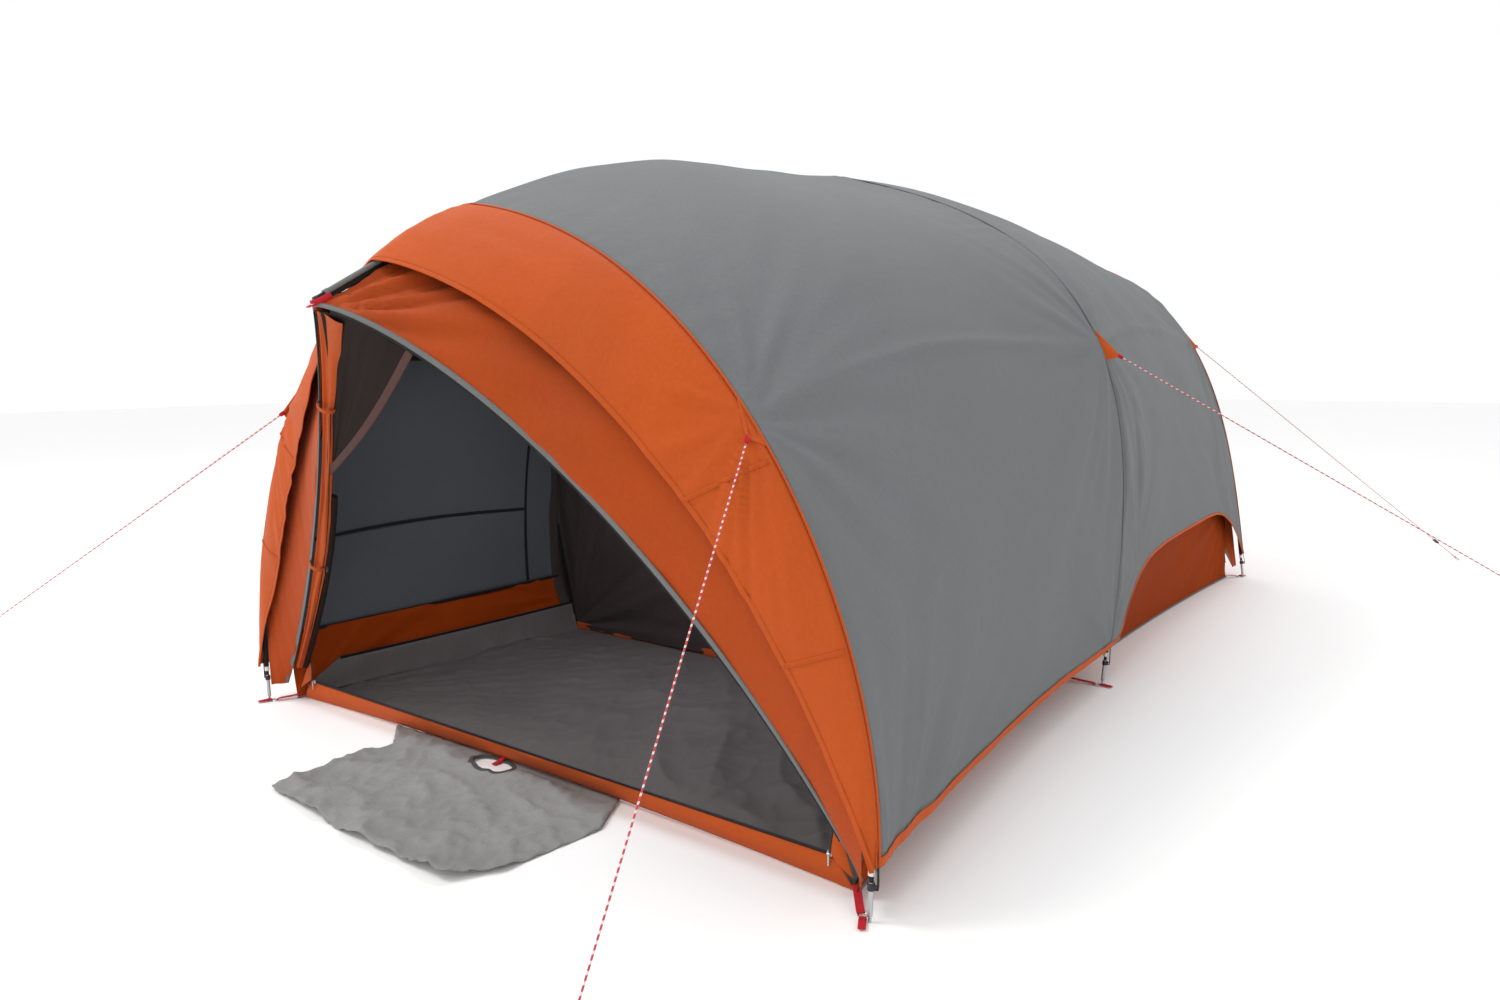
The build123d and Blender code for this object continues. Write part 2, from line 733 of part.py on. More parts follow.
def door_ties():
    """Toggles and loops that hold the gathered front door."""
    ties = []
    for u in (0.3, 0.7):
        centre, radius = bundle_section(u)
        along = (bundle_section(u + 0.02)[0] - bundle_section(u - 0.02)[0]).normalized()
        ties.append(sleeve_on(centre, along, radius + 12, radius + 14, 16))
        toggle = Pos(centre.X + radius + 22, centre.Y, centre.Z) * Cylinder(4, 26)
        ties.append(fillet(toggle.edges(), 1.5))
    return Compound(children=ties)


def threshold_peg_loop():
    """Red webbing loop that pegs down the middle of the front threshold."""
    y = FLOOR_FRONT_Y + FLOOR_BOW - 14
    return strap_between(Vector(-100, y, 5.5), Vector(-100, y - 38, 3.6), 18)


def door_mat():
    """Loose ground mat in front of the door, with a bound hole for the peg loop."""
    outline = [
        (-640, -1996),
        (-500, -2095),
        (-512, -2215),
        (-490, -2505),
        (-50, -2540),
        (350, -2540),
        (430, -2420),
        (470, -2130),
        (380, -1988),
        (-100, -1975),
    ]
    hole = Pos(-100, -2012) * RectangleRounded(120, 58, 27)
    return extrude(make_face(Polyline(*outline, close=True)) - hole, amount=2)


# ---- Write every piece --------------------------------------------------------------


def group(solids):
    return Compound(children=list(solids))


def write(name, shape):
    export_step(shape, f"parts/{name}.step")


def write_cloth():
    front = fly_panel(FRONT_Y + SEAM_GAP, MID_Y - SEAM_GAP, 9)
    rear = fly_panel(MID_Y + SEAM_GAP, REAR_Y - SEAM_GAP, 12)
    rooms = {
        "front": (FRONT_Y + ROOM_END_GAP, DIVIDER_Y - 12, 5),
        "rear": (DIVIDER_Y + 12, REAR_Y - ROOM_END_GAP, 9),
    }
    for name, panel in (("front", front), ("rear", rear)):
        write(f"fly_{name}_right", panel)
        write(f"fly_{name}_left", mirrored(panel))
        wall, skirt = body_wall(*rooms[name]), body_skirt(*rooms[name])
        write(f"wall_{name}_room", group([wall, mirrored(wall)]))
        write(f"skirt_{name}_room", group([skirt, mirrored(skirt)]))
    for name, end in (("front", -1), ("rear", 1)):
        write(f"fly_{name}_band", brow_band(end))
        write(f"{name}_brow", brow(end))
        write(f"{name}_threshold", threshold(end))
        write(f"{name}_threshold_zip", threshold_zip(end))
        write(f"{name}_door_zip", group(edge_zip(end, side) for side in (-1, 1)))
    write("floor_sheet", body_floor())
    write("mesh_roof", body_roof())
    write("room_divider", body_divider())
    write("rear_door", rear_door())
    write("front_door_bundle", front_door_bundle())
    write("door_ties", door_ties())
    write("door_mat", door_mat())
    write("threshold_peg_loop", threshold_peg_loop())


def write_frame():
    for name, y in (("front", FRONT_Y), ("mid", MID_Y), ("rear", REAR_Y)):
        write(f"{name}_hoop_pole", hoop_pole(y))
    write("ridge_pole", ridge_pole())
    write("pole_ferrules", pole_ferrules())
    write("pole_tips", group(pole_tip(*foot) for foot in FEET))
    write("pole_collars", group(pole_collar(*foot) for foot in FEET))
    write("foot_clips", group(foot_clip(*foot) for foot in FEET))
    write("foot_rings", group(foot_ring(*foot) for foot in FEET))
    write("corner_webbing", group(strap for foot in FEET for strap in corner_webbing(*foot)))
    write("ridge_clips", ridge_clips())
    write("brow_caps", group(brow_cap(end) for end in (-1, 1)))
    write("brow_tabs", group(brow_tab(end) for end in (-1, 1)))


def write_zip_sliders():
    parked = {
        "front_right": (SLIDER_PARK, -1),
        "front_left": (-SLIDER_PARK, -1),
        "rear": (SLIDER_PARK, 1),
    }
    for name, place in parked.items():
        write(f"{name}_zip_slider", zip_slider(*place))
        write(f"{name}_pull_tab", pull_tab(*place))


def write_guys():
    flaps = [guy_flap(place, side) for place in GUY_POINTS for side in (-1, 1)]
    write("guy_flaps", group(flap for flap, _ in flaps))
    write("guy_flap_loops", group(strap for _, strap in flaps))
    for place, side in GUY_GROUND:
        name = f"{place}_{'right' if side > 0 else 'left'}"
        write(f"guyline_{name}", guyline(place, side))
        write(f"guy_loop_{name}", guy_loop(place, side))
        write(f"guy_tensioner_{name}", guy_tensioner(place, side))


write_cloth()
write_frame()
write_zip_sliders()
write_guys()
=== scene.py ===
import math

import bpy
import numpy as np
from mathutils import Matrix, Vector, geometry


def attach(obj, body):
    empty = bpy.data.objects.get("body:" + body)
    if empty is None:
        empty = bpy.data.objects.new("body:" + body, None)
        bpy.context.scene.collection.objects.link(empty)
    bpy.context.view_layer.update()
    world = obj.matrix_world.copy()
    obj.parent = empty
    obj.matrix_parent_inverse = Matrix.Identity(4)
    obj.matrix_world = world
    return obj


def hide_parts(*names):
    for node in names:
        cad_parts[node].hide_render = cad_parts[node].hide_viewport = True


# A two-room family dome tent in fine cloth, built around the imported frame. Metres, +Z up,
# -Y the way the open front door faces.

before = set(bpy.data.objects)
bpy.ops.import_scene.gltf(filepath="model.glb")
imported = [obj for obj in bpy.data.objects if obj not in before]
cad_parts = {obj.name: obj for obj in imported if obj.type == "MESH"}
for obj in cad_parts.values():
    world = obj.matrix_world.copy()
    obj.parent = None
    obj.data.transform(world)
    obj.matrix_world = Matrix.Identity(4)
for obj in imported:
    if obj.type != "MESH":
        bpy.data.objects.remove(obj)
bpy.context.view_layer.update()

# ---- Shape of the tent, as the frame has it -----------------------------------------

FRONT_Y, MID_Y, REAR_Y = -2.100, -0.180, 2.160
FRONT_ARCH = np.array(((0, 1.640), (0.929, 1.503), (1.345, 0.582), (1.262, 0)))
MID_ARCH = np.array(((0, 1.985), (1.218, 1.672), (1.305, 1.157), (1.184, 0)))
REAR_ARCH = np.array(((0, 1.856), (1.004, 1.706), (1.132, 0.939), (1.262, 0)))
FRONT_RIDGE_RISE, REAR_RIDGE_RISE, RISE_SKEW = 0.560, 0.320, 1.75
WALL_SAG = 0.030
BODY_INSET, HOOD_INSET, RIDGE_INSET = 0.055, 0.042, 0.013
BROW = {-1: (0.464, 1.350, FRONT_Y), 1: (0.404, 1.640, REAR_Y)}  # reach, height, hoop
CORNER_X, CORNER_SETBACK, CORNER_HEIGHT = 1.204, 0.050, 0.062
HEM_LOW, HEM_HIGH, WINDOW_HEM = 0.135, 0.150, 0.420
BROW_LOW = 0.062
WINDOW_START = MID_Y + 0.120
FLOOR_CORNER_X, FLOOR_WAIST_X, FLOOR_WAIST_Y = 1.172, 1.045, -0.350
FLOOR_Y = {-1: -2.010, 1: 2.070}
FLOOR_BOW = 0.045
SKIRT_TOP = {"front": 0.240, "rear": 0.480}
SHOULDER_HEIGHT, DIVIDER_Y = 1.230, -0.760
BAND_CLEAR, ROOM_END_GAP = 0.012, 0.066
ZIP_Y = {-1: -2.010, 1: 2.074}
ZIP_Z, ZIP_HALF = 0.075, 1.120
ROOMS = {
    "front": (FRONT_Y + ROOM_END_GAP, DIVIDER_Y - 0.012),
    "rear": (DIVIDER_Y + 0.012, REAR_Y - ROOM_END_GAP),
}
END_NAMES = {-1: "front", 1: "rear"}
SIDE_NAMES = {-1: "left", 1: "right"}
HOOPS = {"front": FRONT_Y, "mid": MID_Y, "rear": REAR_Y}


def value_at(shape, y, *settings):
    """One number from a function that works on whole grids."""
    return float(shape(np.float64(y), *settings))


def arch_at(y):
    """Handles of the fly's half arch at each station."""
    front = y <= MID_Y
    v = np.where(front, (y - FRONT_Y) / (MID_Y - FRONT_Y), (y - MID_Y) / (REAR_Y - MID_Y))
    v = np.clip(v, 0, 1)
    near = np.where(front[..., None, None], FRONT_ARCH, MID_ARCH)
    far = np.where(front[..., None, None], MID_ARCH, REAR_ARCH)
    handles = near + (far - near) * v[..., None, None]
    lift = np.where(front, FRONT_RIDGE_RISE, REAR_RIDGE_RISE) * v * (1 - v) ** RISE_SKEW
    sag = 4 * WALL_SAG * v * (1 - v)
    handles[..., 0, 1] += lift
    handles[..., 1, 1] += lift / 2
    handles[..., 2, 0] -= sag
    handles[..., 3, 0] -= sag
    return handles


def cloth_point(y, u, inset=0.0):
    """Points of the fly, u from -1 at the left foot over the ridge to 1 at the right foot."""
    y, u = np.broadcast_arrays(np.asarray(y, float), np.asarray(u, float))
    handles = arch_at(y)
    t = np.abs(u)
    s = 1 - t
    weights = np.stack((s**3, 3 * t * s**2, 3 * t**2 * s, t**3), -1)
    spot = (weights[..., None] * handles).sum(-2)
    weights = np.stack((s**2, 2 * t * s, t**2), -1)
    slope = (weights[..., None] * np.diff(handles, axis=-2)).sum(-2)
    slope /= np.linalg.norm(slope, axis=-1, keepdims=True)
    x = np.maximum(spot[..., 0] + inset * slope[..., 1], 0)
    z = spot[..., 1] - inset * slope[..., 0]
    return np.stack((np.sign(u) * x, y, z), -1)


def share_at_height(y, height, inset=0.0):
    low = np.zeros(np.shape(y))
    high = np.ones(np.shape(y))
    for _ in range(30):
        middle = (low + high) / 2
        above = cloth_point(y, middle, inset)[..., 2] > height
        low = np.where(above, middle, low)
        high = np.where(above, high, middle)
    return low


def opening_edge(u, end):
    reach, height, hoop_y = BROW[end]
    a = np.abs(u)
    sweep = (reach + CORNER_SETBACK) * (1 - a) ** 1.5 - CORNER_SETBACK
    z = CORNER_HEIGHT + (height - CORNER_HEIGHT) * (1 - a**1.4)
    return np.stack(np.broadcast_arrays(CORNER_X * u, hoop_y + end * sweep, z), -1)


def hem_height(y):
    v = np.clip((y - FRONT_Y) / (WINDOW_START - FRONT_Y), 0, 1)
    w = np.clip((y - WINDOW_START) / (REAR_Y - WINDOW_START), 0, 1)
    front = HEM_LOW + (HEM_HIGH - HEM_LOW) * (1 - (1 - v) ** 3)
    plain = HEM_HIGH + (HEM_LOW - HEM_HIGH) * w
    rear = plain + (WINDOW_HEM - plain) * (1 - np.abs(2 * w - 1) ** 6)
    return np.where(y <= WINDOW_START, front, rear)


def floor_half_width(y):
    behind = y > FLOOR_WAIST_Y
    reach = np.where(behind, FLOOR_Y[1] - FLOOR_WAIST_Y, FLOOR_WAIST_Y - FLOOR_Y[-1])
    share = (y - FLOOR_WAIST_Y) / reach
    return FLOOR_WAIST_X + (FLOOR_CORNER_X - FLOOR_WAIST_X) * share**2


def brow_point(u, share, end):
    u, share = np.broadcast_arrays(u, share)
    hoop_y = BROW[end][2]
    low = share_at_height(np.float64(hoop_y), BROW_LOW, HOOD_INSET)
    root = cloth_point(hoop_y, u * low, HOOD_INSET) + (0, end * 0.002, 0)
    return root + (opening_edge(u, end) - root) * share[..., None]


def band_point(u, share, end):
    u, share = np.broadcast_arrays(u, share)
    hoop_y = BROW[end][2]
    low = share_at_height(np.float64(hoop_y), HEM_LOW)
    root = cloth_point(hoop_y, u * low)
    reach = (0.62 - 0.14 * np.abs(u)) * (1 - 0.8 * np.abs(u) ** 12)
    spot = root + (opening_edge(u, end) - root) * (reach * share)[..., None]
    forward = np.maximum(end * (spot[..., 1] - hoop_y), 0) + BAND_CLEAR
    z = spot[..., 2] + 0.008 * share * (1 - np.abs(u))
    return np.stack((spot[..., 0], hoop_y + end * forward * np.minimum(share * 50, 1), z), -1)


# ---- Camera and cords ---------------------------------------------------------------


def put(obj):
    bpy.context.collection.objects.link(obj)
    return obj


def add_camera(place, yaw, pitch, roll, lens):
    """A camera at the photograph's angle: yaw from +Y towards -X, pitch down, in radians."""
    data = bpy.data.cameras.new("camera")
    data.lens, data.sensor_width, data.clip_end = lens, 36, 100
    camera = put(bpy.data.objects.new("camera", data))
    forward = Vector((-math.sin(yaw), math.cos(yaw), -math.tan(pitch))).normalized()
    level = Vector((math.cos(yaw), math.sin(yaw), 0))
    up = level.cross(forward)
    right = level * math.cos(roll) + up * math.sin(roll)
    top = up * math.cos(roll) - level * math.sin(roll)
    turn = Matrix((right, top, -forward)).transposed().to_4x4()
    camera.matrix_world = Matrix.Translation(place) @ turn
    bpy.context.scene.camera = camera


add_camera((2.231, -3.870, 1.208), 0.632, 0.1372, -0.0066, 23.70)

GUY_POINTS = {"front": (FRONT_Y, 0.45), "mid": (MID_Y, 0.522), "rear": (REAR_Y, 0.45)}
FLAP_REACH = {"front": 0.058, "mid": 0.090, "rear": 0.058}
GUY_GROUND = {
    ("front", 1): (1.239, -3.100),
    ("front", -1): (-2.300, -3.007),
    ("mid", 1): (3.000, 0.896),
    ("rear", 1): (2.227, 3.400),
}
CORD_DIAMETER = 0.004


def vec(spot):
    return Vector([float(c) for c in spot])


def guy_ground(place, side):
    """Ground end of a guyline; a side without one mirrors the other side."""
    if (place, side) in GUY_GROUND:
        return Vector((*GUY_GROUND[place, side], 0))
    x, y = GUY_GROUND[place, -side]
    return Vector((-x, y, 0))


def guy_tip(place, side):
    """Outer end of a guy flap, which points along its guyline."""
    y, u = GUY_POINTS[place]
    root = vec(cloth_point(y, side * u))
    return root + (guy_ground(place, side) - root).normalized() * FLAP_REACH[place]


def guy_name(place, side):
    return f"{place}_{SIDE_NAMES[side]}"


def guy_ends(place, side):
    tip = guy_tip(place, side)
    ground = guy_ground(place, side)
    along = (ground - tip).normalized()
    return tip + along * 0.005, ground - along * 0.044, along


def spline_object(name, points, radius, kind="POLY", closed=False):
    """A round tube along points, as a curve."""
    curve = bpy.data.curves.new(name, "CURVE")
    curve.dimensions = "3D"
    spline = curve.splines.new(kind)
    spline.points.add(len(points) - 1)
    for spot, place in zip(spline.points, points):
        spot.co = (*place, 1)
    spline.use_cyclic_u = closed
    if kind == "NURBS":
        spline.order_u = 3
        spline.use_endpoint_u = not closed
        spline.resolution_u = 8
    curve.bevel_depth = radius
    curve.bevel_resolution = 3
    curve.use_fill_caps = not closed
    return put(bpy.data.objects.new(name, curve))


# ---- Materials ----------------------------------------------------------------------

WAVE_TURN = 0.314  # a wave texture's period at scale 1


def node(tree, kind, inputs=None, **settings):
    made = tree.nodes.new(kind)
    for key, value in settings.items():
        setattr(made, key, value)
    for key, value in (inputs or {}).items():
        if isinstance(value, bpy.types.NodeSocket):
            tree.links.new(value, made.inputs[key])
        else:
            made.inputs[key].default_value = value
    return made


def mixed(tree, share, low, high, blend_type="MIX"):
    made = node(tree, "ShaderNodeMix", data_type="RGBA", blend_type=blend_type)
    for socket, value in zip((made.inputs[0], made.inputs[6], made.inputs[7]), (share, low, high)):
        if isinstance(value, bpy.types.NodeSocket):
            tree.links.new(value, socket)
        else:
            socket.default_value = value
    return made.outputs[2]


def ranged(tree, value, low, high, to_low=0.0, to_high=1.0):
    inputs = {"Value": value, 1: low, 2: high, 3: to_low, 4: to_high}
    return node(tree, "ShaderNodeMapRange", inputs).outputs["Result"]


def shade(colour, factor):
    return (*(min(c * factor, 1) for c in colour), 1)


def new_material(name, rough, metallic=0.0, sheen=0.0, coat=0.0):
    material = bpy.data.materials.new(name)
    material.use_nodes = True
    tree = material.node_tree
    shader = tree.nodes["Principled BSDF"]
    shader.inputs["Roughness"].default_value = rough
    shader.inputs["Metallic"].default_value = metallic
    shader.inputs["Sheen Weight"].default_value = sheen
    shader.inputs["Sheen Roughness"].default_value = 0.5
    shader.inputs["Coat Weight"].default_value = coat
    return material, tree, shader


def weave_height(tree, period, rib=False):
    """Threads of a plain weave, or the ribs of webbing, along the cloth's own lie."""
    lie = node(tree, "ShaderNodeUVMap", uv_map="cloth").outputs["UV"]
    scale = WAVE_TURN / period
    settings = {"Vector": lie, "Scale": scale, "Distortion": 0.3, "Detail": 1.0}
    warp = node(tree, "ShaderNodeTexWave", settings, bands_direction="X")
    settings["Scale"] = scale * (0.45 if rib else 1.0)
    weft = node(tree, "ShaderNodeTexWave", settings, bands_direction="Y")
    inputs = {0: warp.outputs["Fac"], 1: weft.outputs["Fac"]}
    return node(tree, "ShaderNodeMath", inputs, operation="MAXIMUM").outputs[0]


def fabric(
    name, colour, rough=0.78, sheen=0.03, shine=0.22, weave=0.0014, mottle=0.10, crumple=0.5,
    rib=False,
):
    """Woven cloth: threads with painted shade between them, fine crumples and slightly uneven colour."""
    material, tree, shader = new_material(name, rough, sheen=sheen)
    shader.inputs["Specular IOR Level"].default_value = shine
    place = node(tree, "ShaderNodeTexCoord").outputs["Object"]
    threads = weave_height(tree, weave, rib)
    patches = node(tree, "ShaderNodeTexNoise", {"Vector": place, "Scale": 2.6, "Detail": 5.0})
    specks = node(tree, "ShaderNodeTexNoise", {"Vector": place, "Scale": 90.0, "Detail": 3.0})
    share = ranged(tree, patches.outputs["Fac"], 0.3, 0.7)
    base = mixed(tree, share, shade(colour, 1 - mottle), shade(colour, 1 + mottle))
    share = ranged(tree, specks.outputs["Fac"], 0.35, 0.65, 0.0, 0.35)
    base = mixed(tree, share, base, shade(colour, 0.86))
    # painted shade: the colour is darkened where the threads dip, in the hollows of the weave
    share = ranged(tree, threads, 0.2, 1.0, 0.16, 0.0)
    base = mixed(tree, share, base, shade(colour, 0.45))
    tree.links.new(base, shader.inputs["Base Color"])
    inputs = {"Vector": place, "Scale": 26.0, "Detail": 6.0, "Roughness": 0.55, "Distortion": 0.8}
    creases = node(tree, "ShaderNodeTexNoise", inputs)
    inputs = {"Height": creases.outputs["Fac"], "Strength": crumple, "Distance": 0.004}
    soft = node(tree, "ShaderNodeBump", inputs)
    inputs = {"Height": threads, "Strength": 0.22, "Distance": 0.0005, "Normal": soft.outputs[0]}
    tree.links.new(node(tree, "ShaderNodeBump", inputs).outputs[0], shader.inputs["Normal"])
    wear = ranged(tree, patches.outputs["Fac"], 0.3, 0.7, rough - 0.08, rough + 0.08)
    tree.links.new(wear, shader.inputs["Roughness"])
    return material


def netting(name, colour, cell=0.0035):
    """Insect mesh: a fine grid of threads with darker holes."""
    material, tree, shader = new_material(name, 0.8, sheen=0.02)
    shader.inputs["Specular IOR Level"].default_value = 0.10
    lie = node(tree, "ShaderNodeUVMap", uv_map="cloth").outputs["UV"]
    inputs = {"Vector": lie, "Scale": 1 / cell, "Randomness": 0.0}
    cells = node(tree, "ShaderNodeTexVoronoi", inputs, feature="F1", voronoi_dimensions="2D")
    share = ranged(tree, cells.outputs["Distance"], 0.32, 0.52)
    base = mixed(tree, share, shade(colour, 0.25), shade(colour, 1.25))
    tree.links.new(base, shader.inputs["Base Color"])
    inputs = {"Height": share, "Strength": 0.6, "Distance": 0.0006}
    tree.links.new(node(tree, "ShaderNodeBump", inputs).outputs[0], shader.inputs["Normal"])
    return material


def hard(name, colour, rough, metallic=0.0, grain=0.08, scale=160.0, coat=0.0, stretch=None):
    """Moulded plastic or metal, with fine grain, scuffs and uneven gloss."""
    material, tree, shader = new_material(name, rough, metallic, coat=coat)
    place = node(tree, "ShaderNodeTexCoord").outputs["Object"]
    if stretch:
        place = node(tree, "ShaderNodeMapping", {"Vector": place, "Scale": stretch}).outputs[0]
    fine = node(tree, "ShaderNodeTexNoise", {"Vector": place, "Scale": scale, "Detail": 4.0})
    scuffs = node(tree, "ShaderNodeTexNoise", {"Vector": place, "Scale": 22.0, "Detail": 7.0})
    share = ranged(tree, scuffs.outputs["Fac"], 0.45, 0.68)
    base = mixed(tree, share, (*colour, 1), shade(colour, 1.35 if max(colour) < 0.5 else 0.82))
    tree.links.new(base, shader.inputs["Base Color"])
    gloss = ranged(tree, fine.outputs["Fac"], 0.3, 0.7, max(rough - 0.08, 0.05), rough + 0.1)
    tree.links.new(gloss, shader.inputs["Roughness"])
    inputs = {"Height": fine.outputs["Fac"], "Strength": grain, "Distance": 0.0005}
    tree.links.new(node(tree, "ShaderNodeBump", inputs).outputs[0], shader.inputs["Normal"])
    return material


def flecked_cord(name, colour, fleck):
    """Braided cord with light tracer flecks and painted shade in the braid's grooves."""
    material, tree, shader = new_material(name, 0.7, sheen=0.3)
    place = node(tree, "ShaderNodeTexCoord").outputs["Object"]
    inputs = {"Vector": place, "Scale": WAVE_TURN / 0.011}
    turns = node(tree, "ShaderNodeTexWave", inputs, bands_direction="Z")
    share = ranged(tree, turns.outputs["Fac"], 0.62, 0.72)
    base = mixed(tree, share, (*colour, 1), (*fleck, 1))
    braid_inputs = {"Vector": place, "Scale": WAVE_TURN / 0.0025}
    braid = node(tree, "ShaderNodeTexWave", braid_inputs, bands_direction="DIAGONAL")
    # painted shade: the cord is darkened in the grooves between the braid's strands
    dark = ranged(tree, braid.outputs["Fac"], 0.0, 0.5, 0.35, 0.0)
    base = mixed(tree, dark, base, shade(colour, 0.4))
    tree.links.new(base, shader.inputs["Base Color"])
    inputs = {"Height": braid.outputs["Fac"], "Strength": 0.5, "Distance": 0.0006}
    tree.links.new(node(tree, "ShaderNodeBump", inputs).outputs[0], shader.inputs["Normal"])
    return material


LOOKS = {
    "grey_fly_fabric": (fabric, dict(colour=(0.155, 0.164, 0.169), mottle=0.04)),
    "orange_fabric": (fabric, dict(colour=(0.50, 0.080, 0.009), mottle=0.06)),
    "floor_fabric": (fabric, dict(colour=(0.122, 0.110, 0.109), rough=0.62, mottle=0.09)),
    "dark_wall_fabric": (fabric, dict(colour=(0.050, 0.038, 0.036), mottle=0.08)),
    "grey_wall_fabric": (fabric, dict(colour=(0.095, 0.106, 0.118), mottle=0.05)),
    "mesh_fabric": (netting, dict(colour=(0.020, 0.010, 0.008))),
    "mat_fabric": (fabric, dict(colour=(0.27, 0.27, 0.265), rough=0.6, mottle=0.08, crumple=0.9)),
    "red_webbing": (fabric, dict(colour=(0.50, 0.012, 0.022), weave=0.0018, rib=True)),
    "black_webbing": (fabric, dict(colour=(0.012, 0.012, 0.013), weave=0.0018, rib=True)),
    "grey_binding": (fabric, dict(colour=(0.17, 0.175, 0.17), weave=0.0016, rib=True)),
    "guy_cord": (flecked_cord, dict(colour=(0.55, 0.03, 0.045), fleck=(0.80, 0.72, 0.70))),
    "black_zip": (hard, dict(colour=(0.010, 0.010, 0.011), rough=0.45, grain=0.15)),
    "black_plastic": (hard, dict(colour=(0.012, 0.012, 0.013), rough=0.42, grain=0.12)),
    "white_plastic": (hard, dict(colour=(0.78, 0.78, 0.76), rough=0.35, grain=0.05)),
    "pole_metal": (hard, dict(colour=(0.014, 0.014, 0.016), rough=0.32, metallic=0.6, stretch=(1, 1, 0.1))),
    "tip_metal": (hard, dict(colour=(0.50, 0.51, 0.52), rough=0.30, metallic=1.0, stretch=(1, 1, 0.08))),
    "zip_metal": (hard, dict(colour=(0.60, 0.60, 0.61), rough=0.35, metallic=1.0)),
    "ring_steel": (hard, dict(colour=(0.72, 0.72, 0.73), rough=0.22, metallic=1.0, grain=0.03)),
    "brown_binding": (fabric, dict(colour=(0.085, 0.034, 0.028), weave=0.0016, rib=True)),
    "shaded_orange": (fabric, dict(colour=(0.36, 0.040, 0.006))),
    # painted shade: the skirts' orange is darkened to paint the shade they stand in
    "skirt_orange": (fabric, dict(colour=(0.30, 0.042, 0.004), sheen=0.0, shine=0.04, mottle=0.08)),
    # painted shade: the brows' orange is darkened to paint the shade that falls on them
    "brow_orange": (fabric, dict(colour=(0.42, 0.060, 0.006), mottle=0.07)),
    "mat_binding": (fabric, dict(colour=(0.07, 0.072, 0.07), weave=0.0016, rib=True)),
    "orange_thread": (fabric, dict(colour=(0.50, 0.10, 0.02), weave=0.0008)),
    "grey_thread": (fabric, dict(colour=(0.16, 0.17, 0.17), weave=0.0008)),
    "dark_thread": (fabric, dict(colour=(0.10, 0.01, 0.012), weave=0.0008)),
}
MATERIALS = {name: make(name, **settings) for name, (make, settings) in LOOKS.items()}


def finish_piece(piece, look, *nodes, body="tent"):
    """Gives a piece its material, slot and body, and hides the frame's nodes it stands for."""
    piece.data.materials.clear()
    piece.data.materials.append(MATERIALS[look])
    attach(piece, body)
    if nodes:
        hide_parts(*nodes)
    return piece


# ---- Cloth and straps from grids of points ------------------------------------------


def perlin(x, y, seed):
    """Smooth noise from about -0.7 to 0.7, with one bump per unit."""
    random = np.random.RandomState(seed)
    order = random.permutation(256)
    angle = random.uniform(0, 2 * np.pi, 256)
    x, y = np.broadcast_arrays(x, y)
    xi, yi = np.floor(x).astype(int), np.floor(y).astype(int)
    xf, yf = x - xi, y - yi
    ease_x, ease_y = (f**3 * (f * (f * 6 - 15) + 10) for f in (xf, yf))

    def corner(dx, dy):
        pick = order[(order[(xi + dx) % 256] + yi + dy) % 256]
        return np.cos(angle[pick]) * (xf - dx) + np.sin(angle[pick]) * (yf - dy)

    low = corner(0, 0) + ease_x * (corner(1, 0) - corner(0, 0))
    high = corner(0, 1) + ease_x * (corner(1, 1) - corner(0, 1))
    return low + ease_y * (high - low)


def creased(noise, power=1.6):
    """Turns smooth noise into narrow raised folds."""
    return (1 - np.minimum(np.abs(noise) * 2.2, 1)) ** power


def fan(a, b, centre, spokes, reach, seed, height):
    """Tension wrinkles that spread from a point and die away with distance."""
    da, db = a - centre[0], b - centre[1]
    far = np.hypot(da, db)
    turn = np.arctan2(db, da)
    rays = perlin(turn * spokes / np.pi + 20, far / (3 * reach) + 7, seed)
    rays = rays + 0.5 * perlin(turn * spokes * 2.1 / np.pi + 9, far / (2 * reach), seed + 1)
    return height * rays * (far / reach) * np.exp(1 - far / reach)


def grid_normals(grid):
    along, across = np.gradient(grid, axis=0), np.gradient(grid, axis=1)
    normal = np.cross(across, along)
    return normal / np.maximum(np.linalg.norm(normal, axis=-1, keepdims=True), 1e-9)


def distances(points, axis=0):
    steps = np.linalg.norm(np.diff(points, axis=axis), axis=-1)
    return np.concatenate((np.zeros_like(np.take(steps, [0], axis)), np.cumsum(steps, axis)), axis)


def mesh_object(name, points, faces, lie=None, smooth=True):
    mesh = bpy.data.meshes.new(name)
    mesh.from_pydata(points.reshape(-1, 3).tolist(), [], [list(f) for f in faces])
    if lie is not None:
        corner = np.zeros(len(mesh.loops), np.int32)
        mesh.loops.foreach_get("vertex_index", corner)
        layer = mesh.uv_layers.new(name="cloth")
        layer.data.foreach_set("uv", lie.reshape(-1, 2)[corner].astype(np.float32).ravel())
    if smooth:
        mesh.shade_smooth()
    return put(bpy.data.objects.new(name, mesh))


def grid_faces(rows, columns, wrap=False):
    index = np.arange(rows * columns).reshape(rows, columns)
    right = np.roll(index, -1, axis=1) if wrap else index[:, 1:]
    left = index if wrap else index[:, :-1]
    quads = np.stack((left[:-1], right[:-1], right[1:], left[1:]), -1)
    return quads.reshape(-1, 4).tolist()


CLOTH_THICK = 0.0012


